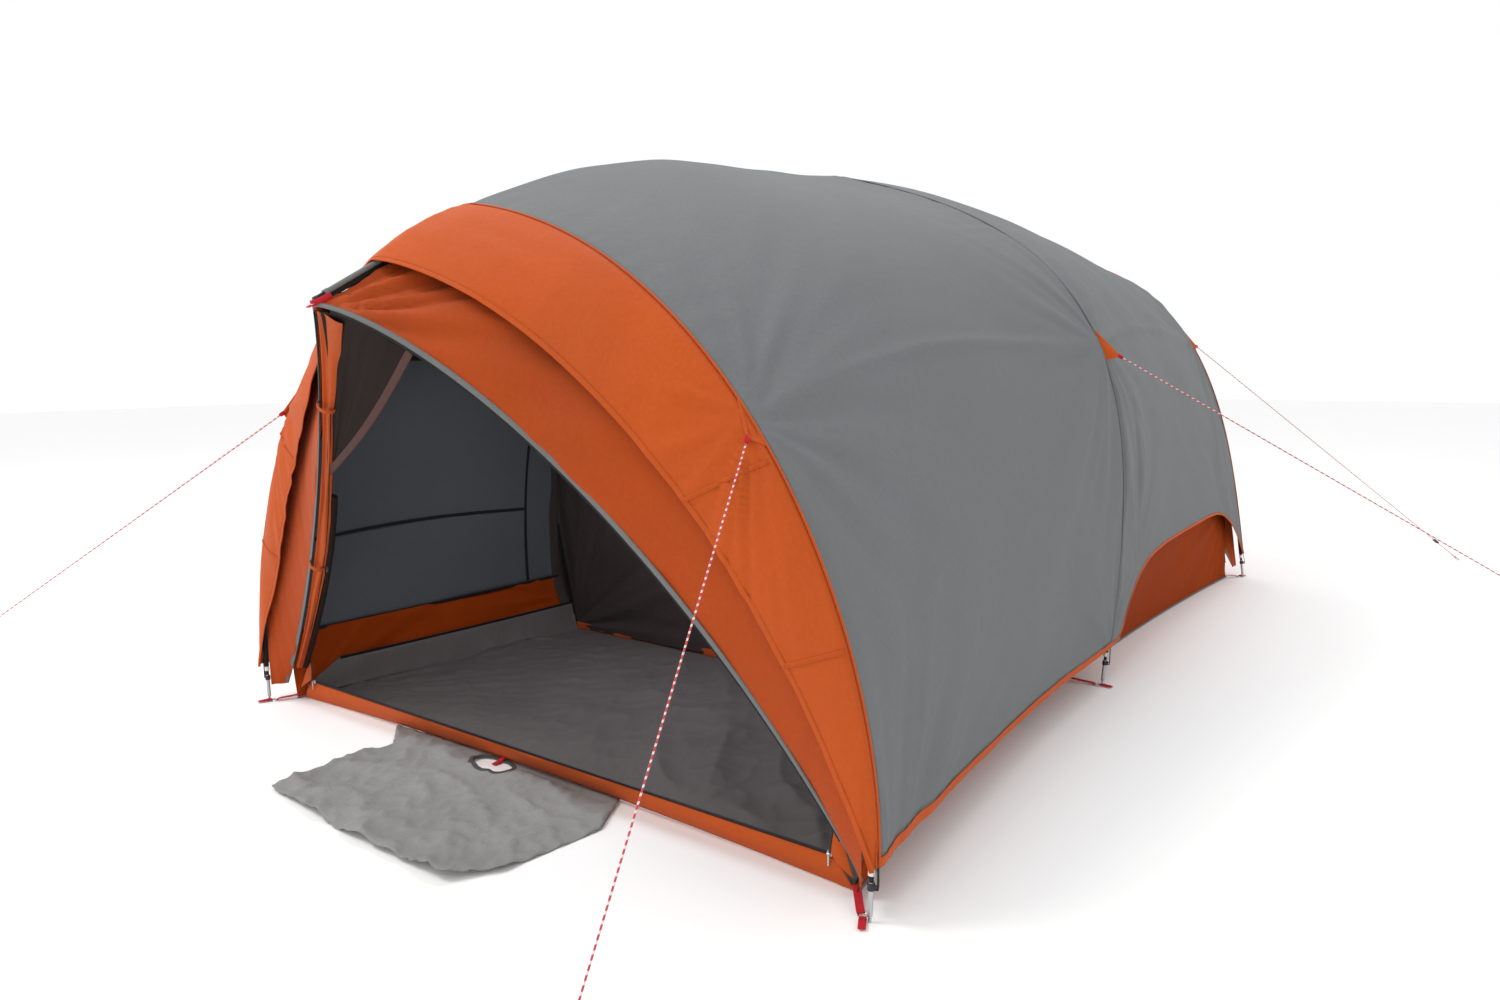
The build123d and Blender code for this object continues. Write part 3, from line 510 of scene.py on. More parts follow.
def cloth(
    name, grid, look, *nodes, height=None, flip=False, thick=CLOTH_THICK,
    hold=None, rests_on=(), cut=None,
):
    """A sheet through a grid of points, raised by height along its own normals."""
    width = float(distances(grid, 1)[:, -1].max())
    length = float(distances(grid, 0)[-1].max())
    a, b = grid[1:, 1:] - grid[:-1, :-1], grid[1:, :-1] - grid[:-1, 1:]
    area = float(np.linalg.norm(np.cross(a, b), axis=-1).sum() / 2)
    if flip:
        grid = grid[:, ::-1]
        height = None if height is None else height[:, ::-1]
    if height is not None:
        grid = grid + grid_normals(grid) * height[..., None]
    lie = np.stack((distances(grid, 1), distances(grid, 0)), -1)
    piece = mesh_object(name, grid, grid_faces(*grid.shape[:2]), lie)
    solid = piece.modifiers.new("thickness", "SOLIDIFY")
    solid.thickness, solid.offset = thick, -1
    finish_piece(piece, look, *nodes)
    if hold:
        cut = cut or (round(width, 4), round(length, 4))
        area = min(max(area, 0.301 * cut[0] * cut[1]), cut[0] * cut[1])
    return piece


def unit(v):
    return v / np.maximum(np.linalg.norm(v, axis=-1, keepdims=True), 1e-9)


def strap(name, path, face, width, thick, look, *nodes, sides=12, square=0.45, body="tent"):
    """A closed strap, tape or cord cover along a path, its flat side towards face."""
    path = np.array([tuple(p) for p in path], float)
    tangent = unit(np.gradient(path, axis=0))
    face = np.broadcast_to(np.asarray(face, float), path.shape)
    side = unit(np.cross(tangent, face))
    face = np.cross(side, tangent)
    turn = np.linspace(0, 2 * np.pi, sides, endpoint=False)
    across = np.sign(np.cos(turn)) * np.abs(np.cos(turn)) ** square * width / 2
    up = np.sign(np.sin(turn)) * np.abs(np.sin(turn)) ** square * thick / 2
    rings = path[:, None] + side[:, None] * across[:, None] + face[:, None] * up[:, None]
    round_it = np.broadcast_to(turn * width / np.pi, rings.shape[:2])
    along = np.broadcast_to(distances(path)[:, None], rings.shape[:2])
    faces = grid_faces(len(path), sides, wrap=True)
    last = (len(path) - 1) * sides
    faces += [list(range(sides))[::-1], list(range(last, last + sides))]
    piece = mesh_object(name, rings, faces, np.stack((round_it, along), -1))
    return finish_piece(piece, look, *nodes, body=body)


BOX_CORNERS = np.array([(x, y, z) for z in (-1, 1) for y in (-1, 1) for x in (-1, 1)], float)
BOX_FACES = ((0, 2, 3, 1), (4, 5, 7, 6), (0, 1, 5, 4), (2, 6, 7, 3), (0, 4, 6, 2), (1, 3, 7, 5))


def dashes(name, paths, faces, pitch, size, look, lift=0.0, lean=0.0):
    """Rows of small blocks along paths: stitches or zip teeth, as one piece."""
    blocks = []
    for path, face in zip(paths, faces):
        path = np.asarray(path, float)
        reach = distances(path)
        stops = np.arange(pitch / 2, reach[-1], pitch)
        spots = np.stack([np.interp(stops, reach, path[:, i]) for i in range(3)], -1)
        along = unit(np.gradient(spots, axis=0))
        face = np.broadcast_to(np.asarray(face, float), path.shape)
        out = np.stack([np.interp(stops, reach, face[:, i]) for i in range(3)], -1)
        side = unit(np.cross(along, out))
        out = np.cross(side, along)
        along = unit(along + side * lean)
        frame_axes = np.stack((along * size[0] / 2, side * size[1] / 2, out * size[2] / 2), 1)
        blocks.append((spots + out * lift)[:, None] + BOX_CORNERS @ frame_axes)
    points = np.concatenate(blocks)
    rows = np.arange(len(points))[:, None, None] * 8 + np.array(BOX_FACES)[None]
    piece = mesh_object(name, points, rows.reshape(-1, 4).tolist(), points[..., :2], smooth=False)
    return finish_piece(piece, look)


def stitches(name, paths, faces, look, lift=0.0012):
    return dashes(name, paths, faces, 0.0062, (0.0042, 0.0009, 0.0008), look, lift)


# ---- Guylines and what is on them ---------------------------------------------------


def knot_points(centre, along, across, radius, turns=2.6, count=40):
    """A cord wound a few times round itself, as the wraps of a knot."""
    lift = along.cross(across)
    spots = []
    for i in range(count):
        angle = 2 * math.pi * turns * i / (count - 1)
        ring = across * math.cos(angle) + lift * math.sin(angle)
        spots.append(centre + ring * radius + along * (0.0105 * (i / (count - 1) - 0.5)))
    return spots


def guyline(place, side):
    name = guy_name(place, side)
    start, stop, along = guy_ends(place, side)
    across = Vector((0, 0, 1)).cross(along).normalized()
    route = [start, start.lerp(stop, 0.5), stop]
    line = spline_object(f"guyline_{name}_cord", route, CORD_DIAMETER / 2, "NURBS")
    finish_piece(line, "guy_cord", f"guyline_{name}")
    knot = spline_object(
        f"guy_knot_{name}",
        knot_points(stop + along * 0.006, along, across, 0.0034),
        CORD_DIAMETER / 2,
    )
    finish_piece(knot, "guy_cord", f"guy_loop_{name}")
    centre = stop + along * 0.024
    ring = []
    for i in range(28):
        angle = 2 * math.pi * i / 28
        ring.append(centre + along * (0.0135 * math.cos(angle)) + across * (0.0105 * math.sin(angle)))
    loop = spline_object(f"guy_eye_{name}", ring, CORD_DIAMETER / 2, closed=True)
    finish_piece(loop, "guy_cord", f"guy_loop_{name}")
    tail_start = stop + along * 0.004 + across * 0.005
    tail = [tail_start, tail_start - along * 0.012 + across * 0.004, tail_start - along * 0.026]
    end = spline_object(f"guy_tail_{name}", tail, CORD_DIAMETER / 2, "NURBS")
    finish_piece(end, "guy_cord", f"guy_loop_{name}")


for guy in GUY_GROUND:
    guyline(*guy)

# ---- Fly ----------------------------------------------------------------------------

ROW = 0.013  # spacing of the points in the cloth
FLY_RELIEF = 1.5  # how strong the creases of the fly are
SEAM_CALM = 0.02  # width beside a hoop in which the wrinkles die away


def lie_across(grid):
    """Signed distance along each row from its middle column."""
    run = distances(grid, 1)
    return run - run[:, [run.shape[1] // 2]]


def fly_point_run(y, u):
    """Distance over the cloth from the ridge to a share of the half arch."""
    return float(distances(cloth_point(y, np.linspace(0, u, 60)))[-1])


def fly_grid(low_y, high_y):
    y = np.linspace(low_y, high_y, round((high_y - low_y) / ROW))[:, None]
    end = share_at_height(y, hem_height(y))
    return cloth_point(y, np.linspace(-1, 1, 321)[None, :] * end)


def guy_fans(a, b, place, height, spokes=9, reach=0.26, seed=30):
    y, u = GUY_POINTS[place]
    run = fly_point_run(y, u)
    return sum(
        fan(a, b, (side * run, y), spokes, reach, seed + side, height) for side in (-1, 1)
    )


def long_crease(a, b, near, far, height, width=0.022):
    """A tension line over the cloth from one guy point to the next."""
    (y0, u0), (y1, u1) = GUY_POINTS[near], GUY_POINTS[far]
    v = np.clip((b - y0) / (y1 - y0), 0, 1)
    run0, run1 = fly_point_run(y0, u0), fly_point_run(y1, u1)
    line = run0 + (run1 - run0) * v - 0.05 * np.sin(np.pi * v)
    off = np.abs(np.abs(a) - line)
    return height * np.exp(-((off / width) ** 2)) * np.sin(np.pi * v) ** 0.6


def from_hem(a):
    """Distance over the cloth from the nearer hem."""
    return np.abs(a).max(axis=1, keepdims=True) - np.abs(a)


def hem_ripples(a, b, seed):
    edge = from_hem(a)
    return 0.0018 * perlin(b / 0.13, np.sign(a) * 3 + 0.5, seed) * np.exp(-edge / 0.05)


def sewn_bay(bay, grid, height, seed, ends):
    """Makes one bay of the fly: calm at its seams and hems, and rippled along the hems."""
    a, b = lie_across(grid), grid[..., 1]
    height *= 0.3 + 0.7 * np.minimum(from_hem(a) / 0.10, 1)
    height += hem_ripples(a, b, seed)
    low, high = (HOOPS[place] for place in ends)
    height *= FLY_RELIEF * np.minimum((b - low) / SEAM_CALM, 1) * np.minimum((high - b) / SEAM_CALM, 1)
    cloth(
        f"fly_{bay}_bay", grid, "grey_fly_fabric", f"fly_{bay}_left", f"fly_{bay}_right",
        height=height, hold="stretched", rests_on=[f"{place}_hoop_pole" for place in ends],
    )
    return grid + grid_normals(grid) * height[..., None]


def fly_front():
    grid = fly_grid(FRONT_Y, MID_Y)
    a, b = lie_across(grid), grid[..., 1]
    height = 0.010 * perlin(a / 0.60, b / 0.55, 1)
    height += 0.0026 * perlin(a / 0.16 + b / 0.30, b / 0.55, 2)
    height += guy_fans(a, b, "front", 0.011) + guy_fans(a, b, "mid", 0.011, seed=40)
    height += long_crease(a, b, "front", "mid", 0.006)
    near_mid = np.exp(-(MID_Y - b) / 0.32)
    height += 0.0036 * perlin(a / 0.040, b / 0.34, 3) * near_mid * np.exp(-((a / 0.95) ** 4))
    near_front = np.exp(-(b - FRONT_Y) / 0.20)
    height += 0.0030 * perlin(a / 0.055, b / 0.25, 4) * near_front
    foot = np.abs(a).max()
    for side in (-1, 1):
        height += fan(a, b, (side * foot, FRONT_Y), 14, 0.26, 5 + side, 0.020)
        height += fan(a, b, (side * foot, MID_Y), 8, 0.24, 8 + side, 0.008)
    return sewn_bay("front", grid, height, 6, ("front", "mid"))


def fly_rear():
    grid = fly_grid(MID_Y, REAR_Y)
    a, b = lie_across(grid), grid[..., 1]
    height = 0.010 * perlin(a / 0.60, b / 0.55, 11)
    height += 0.0026 * perlin(a / 0.16 - b / 0.30, b / 0.55, 12)
    height += guy_fans(a, b, "mid", 0.014, seed=42) + guy_fans(a, b, "rear", 0.010, seed=44)
    height += long_crease(a, b, "mid", "rear", 0.005)
    near_rear = np.exp(-(REAR_Y - b) / 0.45)
    height += 0.0038 * perlin(a / 0.070, b / 0.40, 13) * near_rear
    near_mid = np.exp(-(b - MID_Y) / 0.25)
    height += 0.0026 * perlin(a / 0.045, b / 0.28, 14) * near_mid
    foot = np.abs(a).max()
    for side in (-1, 1):
        height += fan(a, b, (side * foot, MID_Y), 8, 0.26, 15 + side, 0.009)
        height += fan(a, b, (side * (foot - 0.27), MID_Y + 0.3), 7, 0.30, 18 + side, 0.008)
        height += fan(a, b, (side * foot, REAR_Y), 8, 0.30, 21 + side, 0.010)
    return sewn_bay("rear", grid, height, 16, ("mid", "rear"))


def hoop_line(y, low, high, count=150, out=0.0):
    """Points over a hoop and the directions that face away from the tent."""
    u = np.linspace(low, high, count)
    path = cloth_point(y, u)
    face = unit(cloth_point(y, u, -0.01) - path)
    face[np.abs(u) < 1e-6] = (0, 0, 1)
    return path + face * out, face


def fly_trim(front, rear):
    """Seams along the hoops and the hems, and orange strips at the front bay's feet."""
    for end in (-1, 1):
        y = BROW[end][2]
        low = value_at(share_at_height, y, HEM_LOW)
        path, face = hoop_line(y, -low, low, out=0.0012)
        name = END_NAMES[end]
        strap(f"fly_{name}_seam_piping", path, face, 0.0075, 0.0055, "orange_fabric", square=0.9)
        beside = path - (0, end * 0.009, 0)
        stitches(f"fly_{name}_seam_stitches", [beside], [face], "grey_thread")
    low = value_at(share_at_height, MID_Y, value_at(hem_height, MID_Y))
    path, face = hoop_line(MID_Y, -low, low, out=0.0006)
    strap("fly_mid_seam", path, face, 0.016, 0.0024, "grey_fly_fabric")
    rows = [path + (0, s * 0.0055, 0) for s in (-1, 1)]
    stitches("fly_mid_seam_stitches", rows, [face, face], "grey_thread", lift=0.0016)
    hems = [g[:, c] for g in (front, rear) for c in (0, -1)]
    inner = [g[:, c] for g in (front, rear) for c in (3, -4)]
    looks = ("grey_fly_fabric", "grey_fly_fabric", "orange_fabric", "orange_fabric")
    names = ("front_left", "front_right", "rear_left", "rear_right")
    faces = []
    for hem, beside, look, name in zip(hems, inner, looks, names):
        up = unit(beside - hem)
        out = unit(np.cross(np.gradient(hem, axis=0), up))
        out *= np.sign((out * hem * (1, 0, 0)).sum(-1, keepdims=True))
        faces.append(out)
        strap(f"fly_hem_{name}", hem + up * 0.006 + out * 0.0004, out, 0.014, 0.0028, look)
    rows = [hem + unit(beside - hem) * 0.011 for hem, beside in zip(hems, inner)]
    stitches("fly_hem_stitches", rows[2:], faces[2:], "grey_thread", lift=0.0020)
    for hem, beside, out, name in zip(hems[:2], inner, faces, names):
        up = unit(beside - hem)
        path = hem + up * 0.009 + out * 0.0024
        strap(f"fly_foot_strip_{name}", path, out, 0.024, 0.0030, "orange_fabric")
    rows = [hem + unit(beside - hem) * 0.026 for hem, beside in zip(hems[:2], inner)]
    stitches("fly_foot_stitches", rows, faces[:2], "grey_thread", lift=0.0012)


BAND_SEAMS = (0.535, 0.745)  # shares of the band's half length


def fly_band(end):
    name = END_NAMES[end]
    share = np.linspace(0, 1, 30)[:, None]
    u = np.linspace(-1, 1, 301)[None, :]
    grid = band_point(u, share, end)
    a, b = lie_across(grid), distances(grid, 0)
    belly = 0.012 * np.sin(np.pi * share) * (1 - np.abs(u) ** 6)
    height = belly + 0.0050 * perlin(a / 0.20, b / 0.30, 50 + end)
    height += 0.0026 * perlin(a / 0.30, b / 0.045, 52 + end) * np.exp(-((a / 0.7) ** 4))
    y, guy_u = GUY_POINTS[name]
    run = fly_point_run(y, guy_u)
    for side in (-1, 1):
        height += fan(a, b, (side * run, 0), 10, 0.13, 54 + side, 0.010)
    lifted = 0.010 * share**2 * np.minimum(np.abs(u) / 0.3, 1)
    height += 0.0022 * perlin(a / 0.09, b / 0.2, 57) * share + lifted
    height *= 1.5 * np.minimum(share / 0.08, 1)
    cloth(
        f"fly_{name}_brow", grid, "orange_fabric", f"fly_{name}_band", height=height,
        flip=end < 0, hold="stretched", rests_on=(f"{name}_hoop_pole",),
    )
    normal = grid_normals(grid) * end
    surface = grid + normal * height[..., None]
    edge, inward = surface[-1], unit(surface[-2] - surface[-1])
    strap(f"fly_{name}_brow_hem", edge + inward * 0.005, normal[-1], 0.014, 0.0034, "orange_fabric")
    seam = edge + inward * 0.013
    stitches(f"fly_{name}_brow_stitches", [seam], [normal[-1]], "orange_thread", lift=0.001)
    columns = [round(150 + s * 150 * u_seam) for u_seam in BAND_SEAMS for s in (-1, 1)]
    for column in columns:
        face = normal[1:, column]
        path = surface[1:, column] + face * 0.0012
        strap(f"fly_{name}_brow_seam_{column}", path, face, 0.011, 0.0024, "orange_fabric")
    rows = [surface[1:, c] for c in columns]
    stitches(
        f"fly_{name}_brow_seam_stitches", rows, [normal[1:, c] for c in columns],
        "orange_thread", lift=0.0028,
    )


front_fly = fly_front()
rear_fly = fly_rear()
fly_trim(front_fly, rear_fly)
for end in (-1, 1):
    fly_band(end)

# ---- Tent body: brows, zips and doors -----------------------------------------------


def body_brow(end):
    name = END_NAMES[end]
    share = np.linspace(0, 1, 26)[:, None]
    u = np.linspace(-1, 1, 321)[None, :]
    grid = brow_point(u, share, end)
    a, b = lie_across(grid), distances(grid, 0)
    tip = opening_edge(np.float64(0), end)
    x, y = grid[..., 0] - tip[0], (grid[..., 1] - tip[1]) * end
    height = fan(x, -y, (0, 0), 17, 0.25, 60 + end, 0.026)
    height += 0.0042 * perlin(a / 0.11 + b / 0.10, b / 0.16, 62 + end)
    height += 0.0060 * perlin(a / 0.5, b / 0.3, 64 + end)
    height += 0.0030 * perlin(a / 0.50, b / 0.035, 66 + end) * np.exp(-((a / 0.8) ** 2))
    height -= 0.010 * np.sin(np.pi * share) * np.exp(-((a / 0.9) ** 4))
    height *= 1.5 * np.minimum(share / 0.1, 1) * np.minimum((1 - share) / 0.04, 1)
    # The brow's cloth takes the darkened orange, with its shade painted in.
    cloth(
        f"{name}_brow_cloth", grid, "brow_orange", f"{name}_brow", height=height,
        flip=end < 0, hold="stretched", rests_on=(f"{name}_hoop_pole", "ridge_pole"),
    )
    normal = grid_normals(grid)[-2] * end
    edge = grid[-1]
    inward = unit(grid[-2] - grid[-1])
    path = edge + inward * 0.006 + normal * 0.0008
    strap(f"{name}_opening_binding", path, normal, 0.014, 0.0042, "grey_binding")
    seam = edge + inward * 0.0125
    stitches(f"{name}_opening_stitches", [seam], [normal], "grey_thread", lift=0.0032)


EDGE_TOOTH = (0.0021, 0.0052, 0.0030)  # along, across and out of the zip
SILL_TOOTH = (0.0020, 0.0040, 0.0040)
SILL_TOP_DROP = {-1: 0.007, 1: 0.012}  # how far below the zip each sill's cloth ends


def edge_zip(end):
    """The curved zip of an opening: tape and teeth just inside its bound edge."""
    name = END_NAMES[end]
    paths, faces = [], []
    for side in (-1, 1):
        u = side * np.linspace(0.03, 0.955, 160)
        path = opening_edge(u, end) + np.stack((-side * 0.001 + 0 * u, 0 * u, -0.004 + 0 * u), -1)
        face = unit(np.stack((0.35 * side + 0 * u, end + 0 * u, 0.25 + 0 * u), -1))
        paths.append(path)
        faces.append(face)
        strap(
            f"{name}_zip_tape_{SIDE_NAMES[side]}",
            path - (0, end * 0.001, 0), face, 0.009, 0.0012, "black_webbing", f"{name}_door_zip",
        )
    dashes(f"{name}_zip_teeth", paths, faces, 0.0032, EDGE_TOOTH, "black_zip", 0.0004, 0.25)


def straight_zip(end):
    """The zip across a threshold, with its tape below the teeth."""
    name = END_NAMES[end]
    x = np.linspace(-ZIP_HALF, ZIP_HALF, 80)
    path = np.stack((x, 0 * x + ZIP_Y[end], 0 * x + ZIP_Z), -1)
    face = (0, end, 0)
    strap(
        f"{name}_threshold_tape", path - (0, 0, 0.0030), face, 0.005, 0.0011,
        "black_webbing", f"{name}_threshold_zip",
    )
    strap(f"{name}_threshold_core", path, face, 0.0034, 0.0026, "black_zip", square=0.9)
    dashes(f"{name}_threshold_teeth", [path], [face], 0.0034, SILL_TOOTH, "black_zip", lean=0.3)
    seam = path - (0, 0, 0.0050)
    stitches(f"{name}_threshold_tape_stitches", [seam], [face], "dark_thread", lift=0.0007)


def threshold(end):
    name = END_NAMES[end]
    share = np.linspace(0, 1, 9)[:, None]
    u = np.linspace(-1, 1, 241)[None, :]
    foot_x = (FLOOR_CORNER_X - 0.008) * u
    foot_y = FLOOR_Y[end] - end * FLOOR_BOW * (1 - u**2)
    x = foot_x + (ZIP_HALF * u - foot_x) * share
    y = foot_y + (ZIP_Y[end] - foot_y) * share
    z = 0.002 + (ZIP_Z - SILL_TOP_DROP[end]) * share
    grid = np.stack(np.broadcast_arrays(x, y, z), -1)
    height = 0.007 * np.sin(np.pi * share) + 0.0055 * perlin(x / 0.13, share * 1.2, 70 + end) * share
    height = height * np.minimum((1 - share) / 0.15 + 0.15, 1)
    cloth(
        f"{name}_threshold_cloth", grid, "orange_fabric", f"{name}_threshold", height=height,
        flip=end > 0, hold="stretched", rests_on=("floor_sheet",),
    )
    low = grid[0] + (0, end * 0.0006, 0.0035)
    strap(f"{name}_threshold_piping", low, (0, end, 0), 0.0065, 0.0045, "orange_fabric", square=0.9)


def rear_door():
    a = np.linspace(0.02, 0.985, 130)[:, None]
    s = np.linspace(-1, 1, 161)[None, :]
    edge = opening_edge(a, 1)
    x = (edge[..., 0] - 0.016) * s
    grid = np.stack(np.broadcast_arrays(x, edge[..., 1], edge[..., 2] - 0.012), -1)
    belly = 1 - s**2
    b = grid[..., 2]
    height = 0.012 * belly * np.sin(np.pi * np.clip((a - 0.02) / 0.96, 0, 1))
    folds = 0.006 * perlin(x / 0.22, b / 0.6, 80) + 0.0035 * perlin(x / 0.07, b / 0.5, 81)
    height = height + belly * folds
    height += fan(x, b, (0, 1.64), 10, 0.28, 82, 0.010) * belly
    for side in (-1, 1):
        height += fan(x, b, (side * CORNER_X, 0.06), 9, 0.30, 84 + side, 0.011) * belly
    cloth(
        "rear_door_cloth", grid, "orange_fabric", "rear_door", height=height,
        hold="stretched", rests_on=("rear_door_zip",),
    )


for end in (-1, 1):
    body_brow(end)
    edge_zip(end)
    straight_zip(end)
    threshold(end)
rear_door()


# ---- Tent body: rooms ---------------------------------------------------------------


def body_strip(room, side, rows, low_height, high_height, inset=BODY_INSET, columns=60):
    """Grid over one side wall of a room, between two heights, from top to bottom."""
    y = np.linspace(*ROOMS[room], rows)[:, None]
    start = share_at_height(y, high_height, inset)
    stop = share_at_height(y, low_height, inset)
    u = start + (stop - start) * np.linspace(0, 1, columns)[None, :]
    return cloth_point(y, side * u, inset)


def skirt_rows(room, side, y, inset=0.0):
    """Top and foot of a room's lower wall at each station."""
    foot = np.stack((side * (floor_half_width(y) - inset), y, 0 * y + 0.001), -1)
    share = share_at_height(y, SKIRT_TOP[room], BODY_INSET + inset)
    return cloth_point(y, side * share, BODY_INSET + inset), foot


def room_walls(room):
    for side, word in SIDE_NAMES.items():
        grid = body_strip(room, side, 150, SKIRT_TOP[room], SHOULDER_HEIGHT + 0.02)
        a, b = distances(grid, 1), grid[..., 1]
        seed = 90 + side + (4 if room == "rear" else 0)
        height = 0.007 * perlin(a / 0.4, b / 0.5, seed) + 0.0022 * perlin(a / 0.5, b / 0.09, seed + 7)
        height += fan(a, b, (a.max(), ROOMS[room][0]), 7, 0.3, seed + 11, 0.008)
        cloth(
            f"wall_{room}_{word}", grid, "grey_wall_fabric", f"wall_{room}_room", height=height,
            flip=side < 0, hold="stretched", rests_on=(f"skirt_{room}_{word}",),
        )


def room_skirts(room):
    for side, word in SIDE_NAMES.items():
        y = np.linspace(*ROOMS[room], 190)
        top, foot = skirt_rows(room, side, y)
        share = np.linspace(0, 1, 34)[None, :, None]
        grid = top[:, None] + (foot - top)[:, None] * share
        a, b = distances(grid, 1), grid[..., 1]
        seed = 110 + side + (4 if room == "rear" else 0)
        height = 0.006 * np.sin(np.pi * share[..., 0]) + 0.002 * perlin(a / 0.2, b / 0.10, seed)
        front_corner, rear_corner = ROOMS[room]
        height = height + fan(a, b, (a.max(), front_corner), 12, 0.34, seed + 3, 0.016)
        height += fan(a, b, (0.1, rear_corner), 14, 0.50, seed + 5, 0.018)
        height += 0.005 * perlin(a / 0.35 + b / 0.12, b / 0.5, seed + 9)
        height *= np.minimum((1 - share[..., 0]) / 0.08, 1)
        # The skirts take the darkened orange, with their shade painted in.
        cloth(
            f"skirt_{room}_{word}", grid, "skirt_orange", f"skirt_{room}_room", height=height,
            flip=side < 0, hold="stretched", rests_on=("floor_sheet",),
        )
        out = unit(np.stack((side + 0 * y, 0 * y, 0.2 + 0 * y), -1))
        inside = top - out * 0.004
        strap(f"skirt_tape_{room}_{word}", inside, out, 0.013, 0.0024, "black_webbing")
        foot_line = foot + (side * 0.002, 0, 0.005)
        strap(f"skirt_piping_{room}_{word}", foot_line, out, 0.008, 0.006, "grey_binding", square=0.9)


def wall_tapes():
    """Black taped seams on the inside of the front room's walls."""
    inset = BODY_INSET + 0.006
    low_y = ROOMS["front"][0]
    for side, word in SIDE_NAMES.items():
        y = np.linspace(low_y + 0.01, -0.95, 60)
        u = share_at_height(y, 0.58 + 0.02 * np.sin(np.pi * (y - low_y)), inset)
        path = cloth_point(y, side * u, inset)
        strap(f"wall_seam_level_{word}", path, (side, 0, 0.15), 0.013, 0.0022, "black_webbing")
        for name, y_seam in (("front", low_y + 0.03), ("middle", -0.95)):
            z = np.linspace(1.22, 0.25, 40)
            u = share_at_height(y_seam + 0 * z, z, inset)
            path = cloth_point(y_seam, side * u, inset)
            strap(f"wall_seam_{name}_{word}", path, (side, 0, 0.3), 0.013, 0.0022, "black_webbing")


def mesh_roof():
    y = np.linspace(FRONT_Y + ROOM_END_GAP, REAR_Y - ROOM_END_GAP, 240)[:, None]
    end = share_at_height(y, SHOULDER_HEIGHT + 0.005, BODY_INSET)
    grid = cloth_point(y, np.linspace(-1, 1, 161)[None, :] * end, BODY_INSET)
    a, b = lie_across(grid), grid[..., 1]
    height = 0.008 * perlin(a / 0.5, b / 0.6, 130) - 0.006
    cloth(
        "mesh_roof_netting", grid, "mesh_fabric", "mesh_roof", height=height,
        hold="stretched", rests_on=("mid_hoop_pole",),
    )
    for side, word in SIDE_NAMES.items():
        path = grid[:, -1 if side > 0 else 0] - (side * 0.002, 0, 0.002)
        strap(f"roof_seam_{word}", path, (side, 0, 0.6), 0.016, 0.0028, "black_webbing")


FOLD_CORNER = (-1.15, -2.0)  # the floor's creases spread from this corner


def tub_floor():
    """Floor sheet whose sides turn up inside the orange skirts as a tub."""
    inset, rim_height = 0.009, 0.118
    c = np.linspace(-1, 1, 261)[None, :]
    share = np.linspace(0, 1, 381)[:, None]
    bow = FLOOR_BOW * (1 - c**2)
    front = FLOOR_Y[-1] + inset + bow
    rear = FLOOR_Y[1] - inset - bow
    y = front + (rear - front) * share
    half = floor_half_width(y) - inset
    room = np.where(y < DIVIDER_Y, SKIRT_TOP["front"], SKIRT_TOP["rear"])
    top = share_at_height(y, room, BODY_INSET)
    top_x = cloth_point(y, top, BODY_INSET)[..., 0]
    lean = (top_x - half - inset) * rim_height / room
    flat_share = 0.93
    rise = np.clip((np.abs(c) - flat_share) / (1 - flat_share), 0, 1)
    ends = np.minimum(np.minimum(share, 1 - share) / 0.03, 1)
    rise_z = rim_height * rise**1.3 * (0.35 + 0.65 * ends)
    x = np.minimum(np.abs(c) / flat_share, 1) * (half - 0.012) + lean * rise * 0.9
    grid = np.stack(np.broadcast_arrays(np.sign(c) * x, y, 0.0026 + rise_z), -1)
    x = grid[..., 0]
    from_x, from_y = x - FOLD_CORNER[0], y - FOLD_CORNER[1]
    from_corner = np.hypot(from_x, from_y)
    diagonal = x * 0.80 + y * 0.60
    along = y * 0.80 - x * 0.60
    folds = creased(perlin(diagonal / 0.20, along / 0.75, 140), 2.2)
    folds = folds * (0.35 + 0.65 * np.clip(x + 0.4, 0, 1))
    rays = creased(perlin(np.arctan2(from_y, from_x) * 9, from_corner / 0.9, 141), 2.0)
    small = creased(perlin(x / 0.10 + 3, y / 0.14, 142), 3) + creased(perlin(x / 0.23, y / 0.19, 143), 3)
    height = 0.020 * folds + 0.012 * rays * np.exp(-from_corner / 1.1) + 0.0050 * small
    height += 0.004 * (perlin(x / 0.35, y / 0.4, 144) + 0.5)
    edge = np.minimum((1 - np.abs(c)) / 0.06, 1) * ends
    edge = edge * np.clip(np.abs(y - DIVIDER_Y) / 0.14, 0.08, 1)
    cloth(
        "floor_tub", grid, "floor_fabric", "floor_sheet", height=height * edge,
        hold="laid", rests_on=("floor_sheet",),
    )
    for side, word in SIDE_NAMES.items():
        path = grid[12:-12, 0 if side < 0 else -1] + (-side * 0.002, 0, 0)
        strap(f"floor_seam_{word}", path, (side, 0, 0.3), 0.013, 0.0024, "black_webbing")


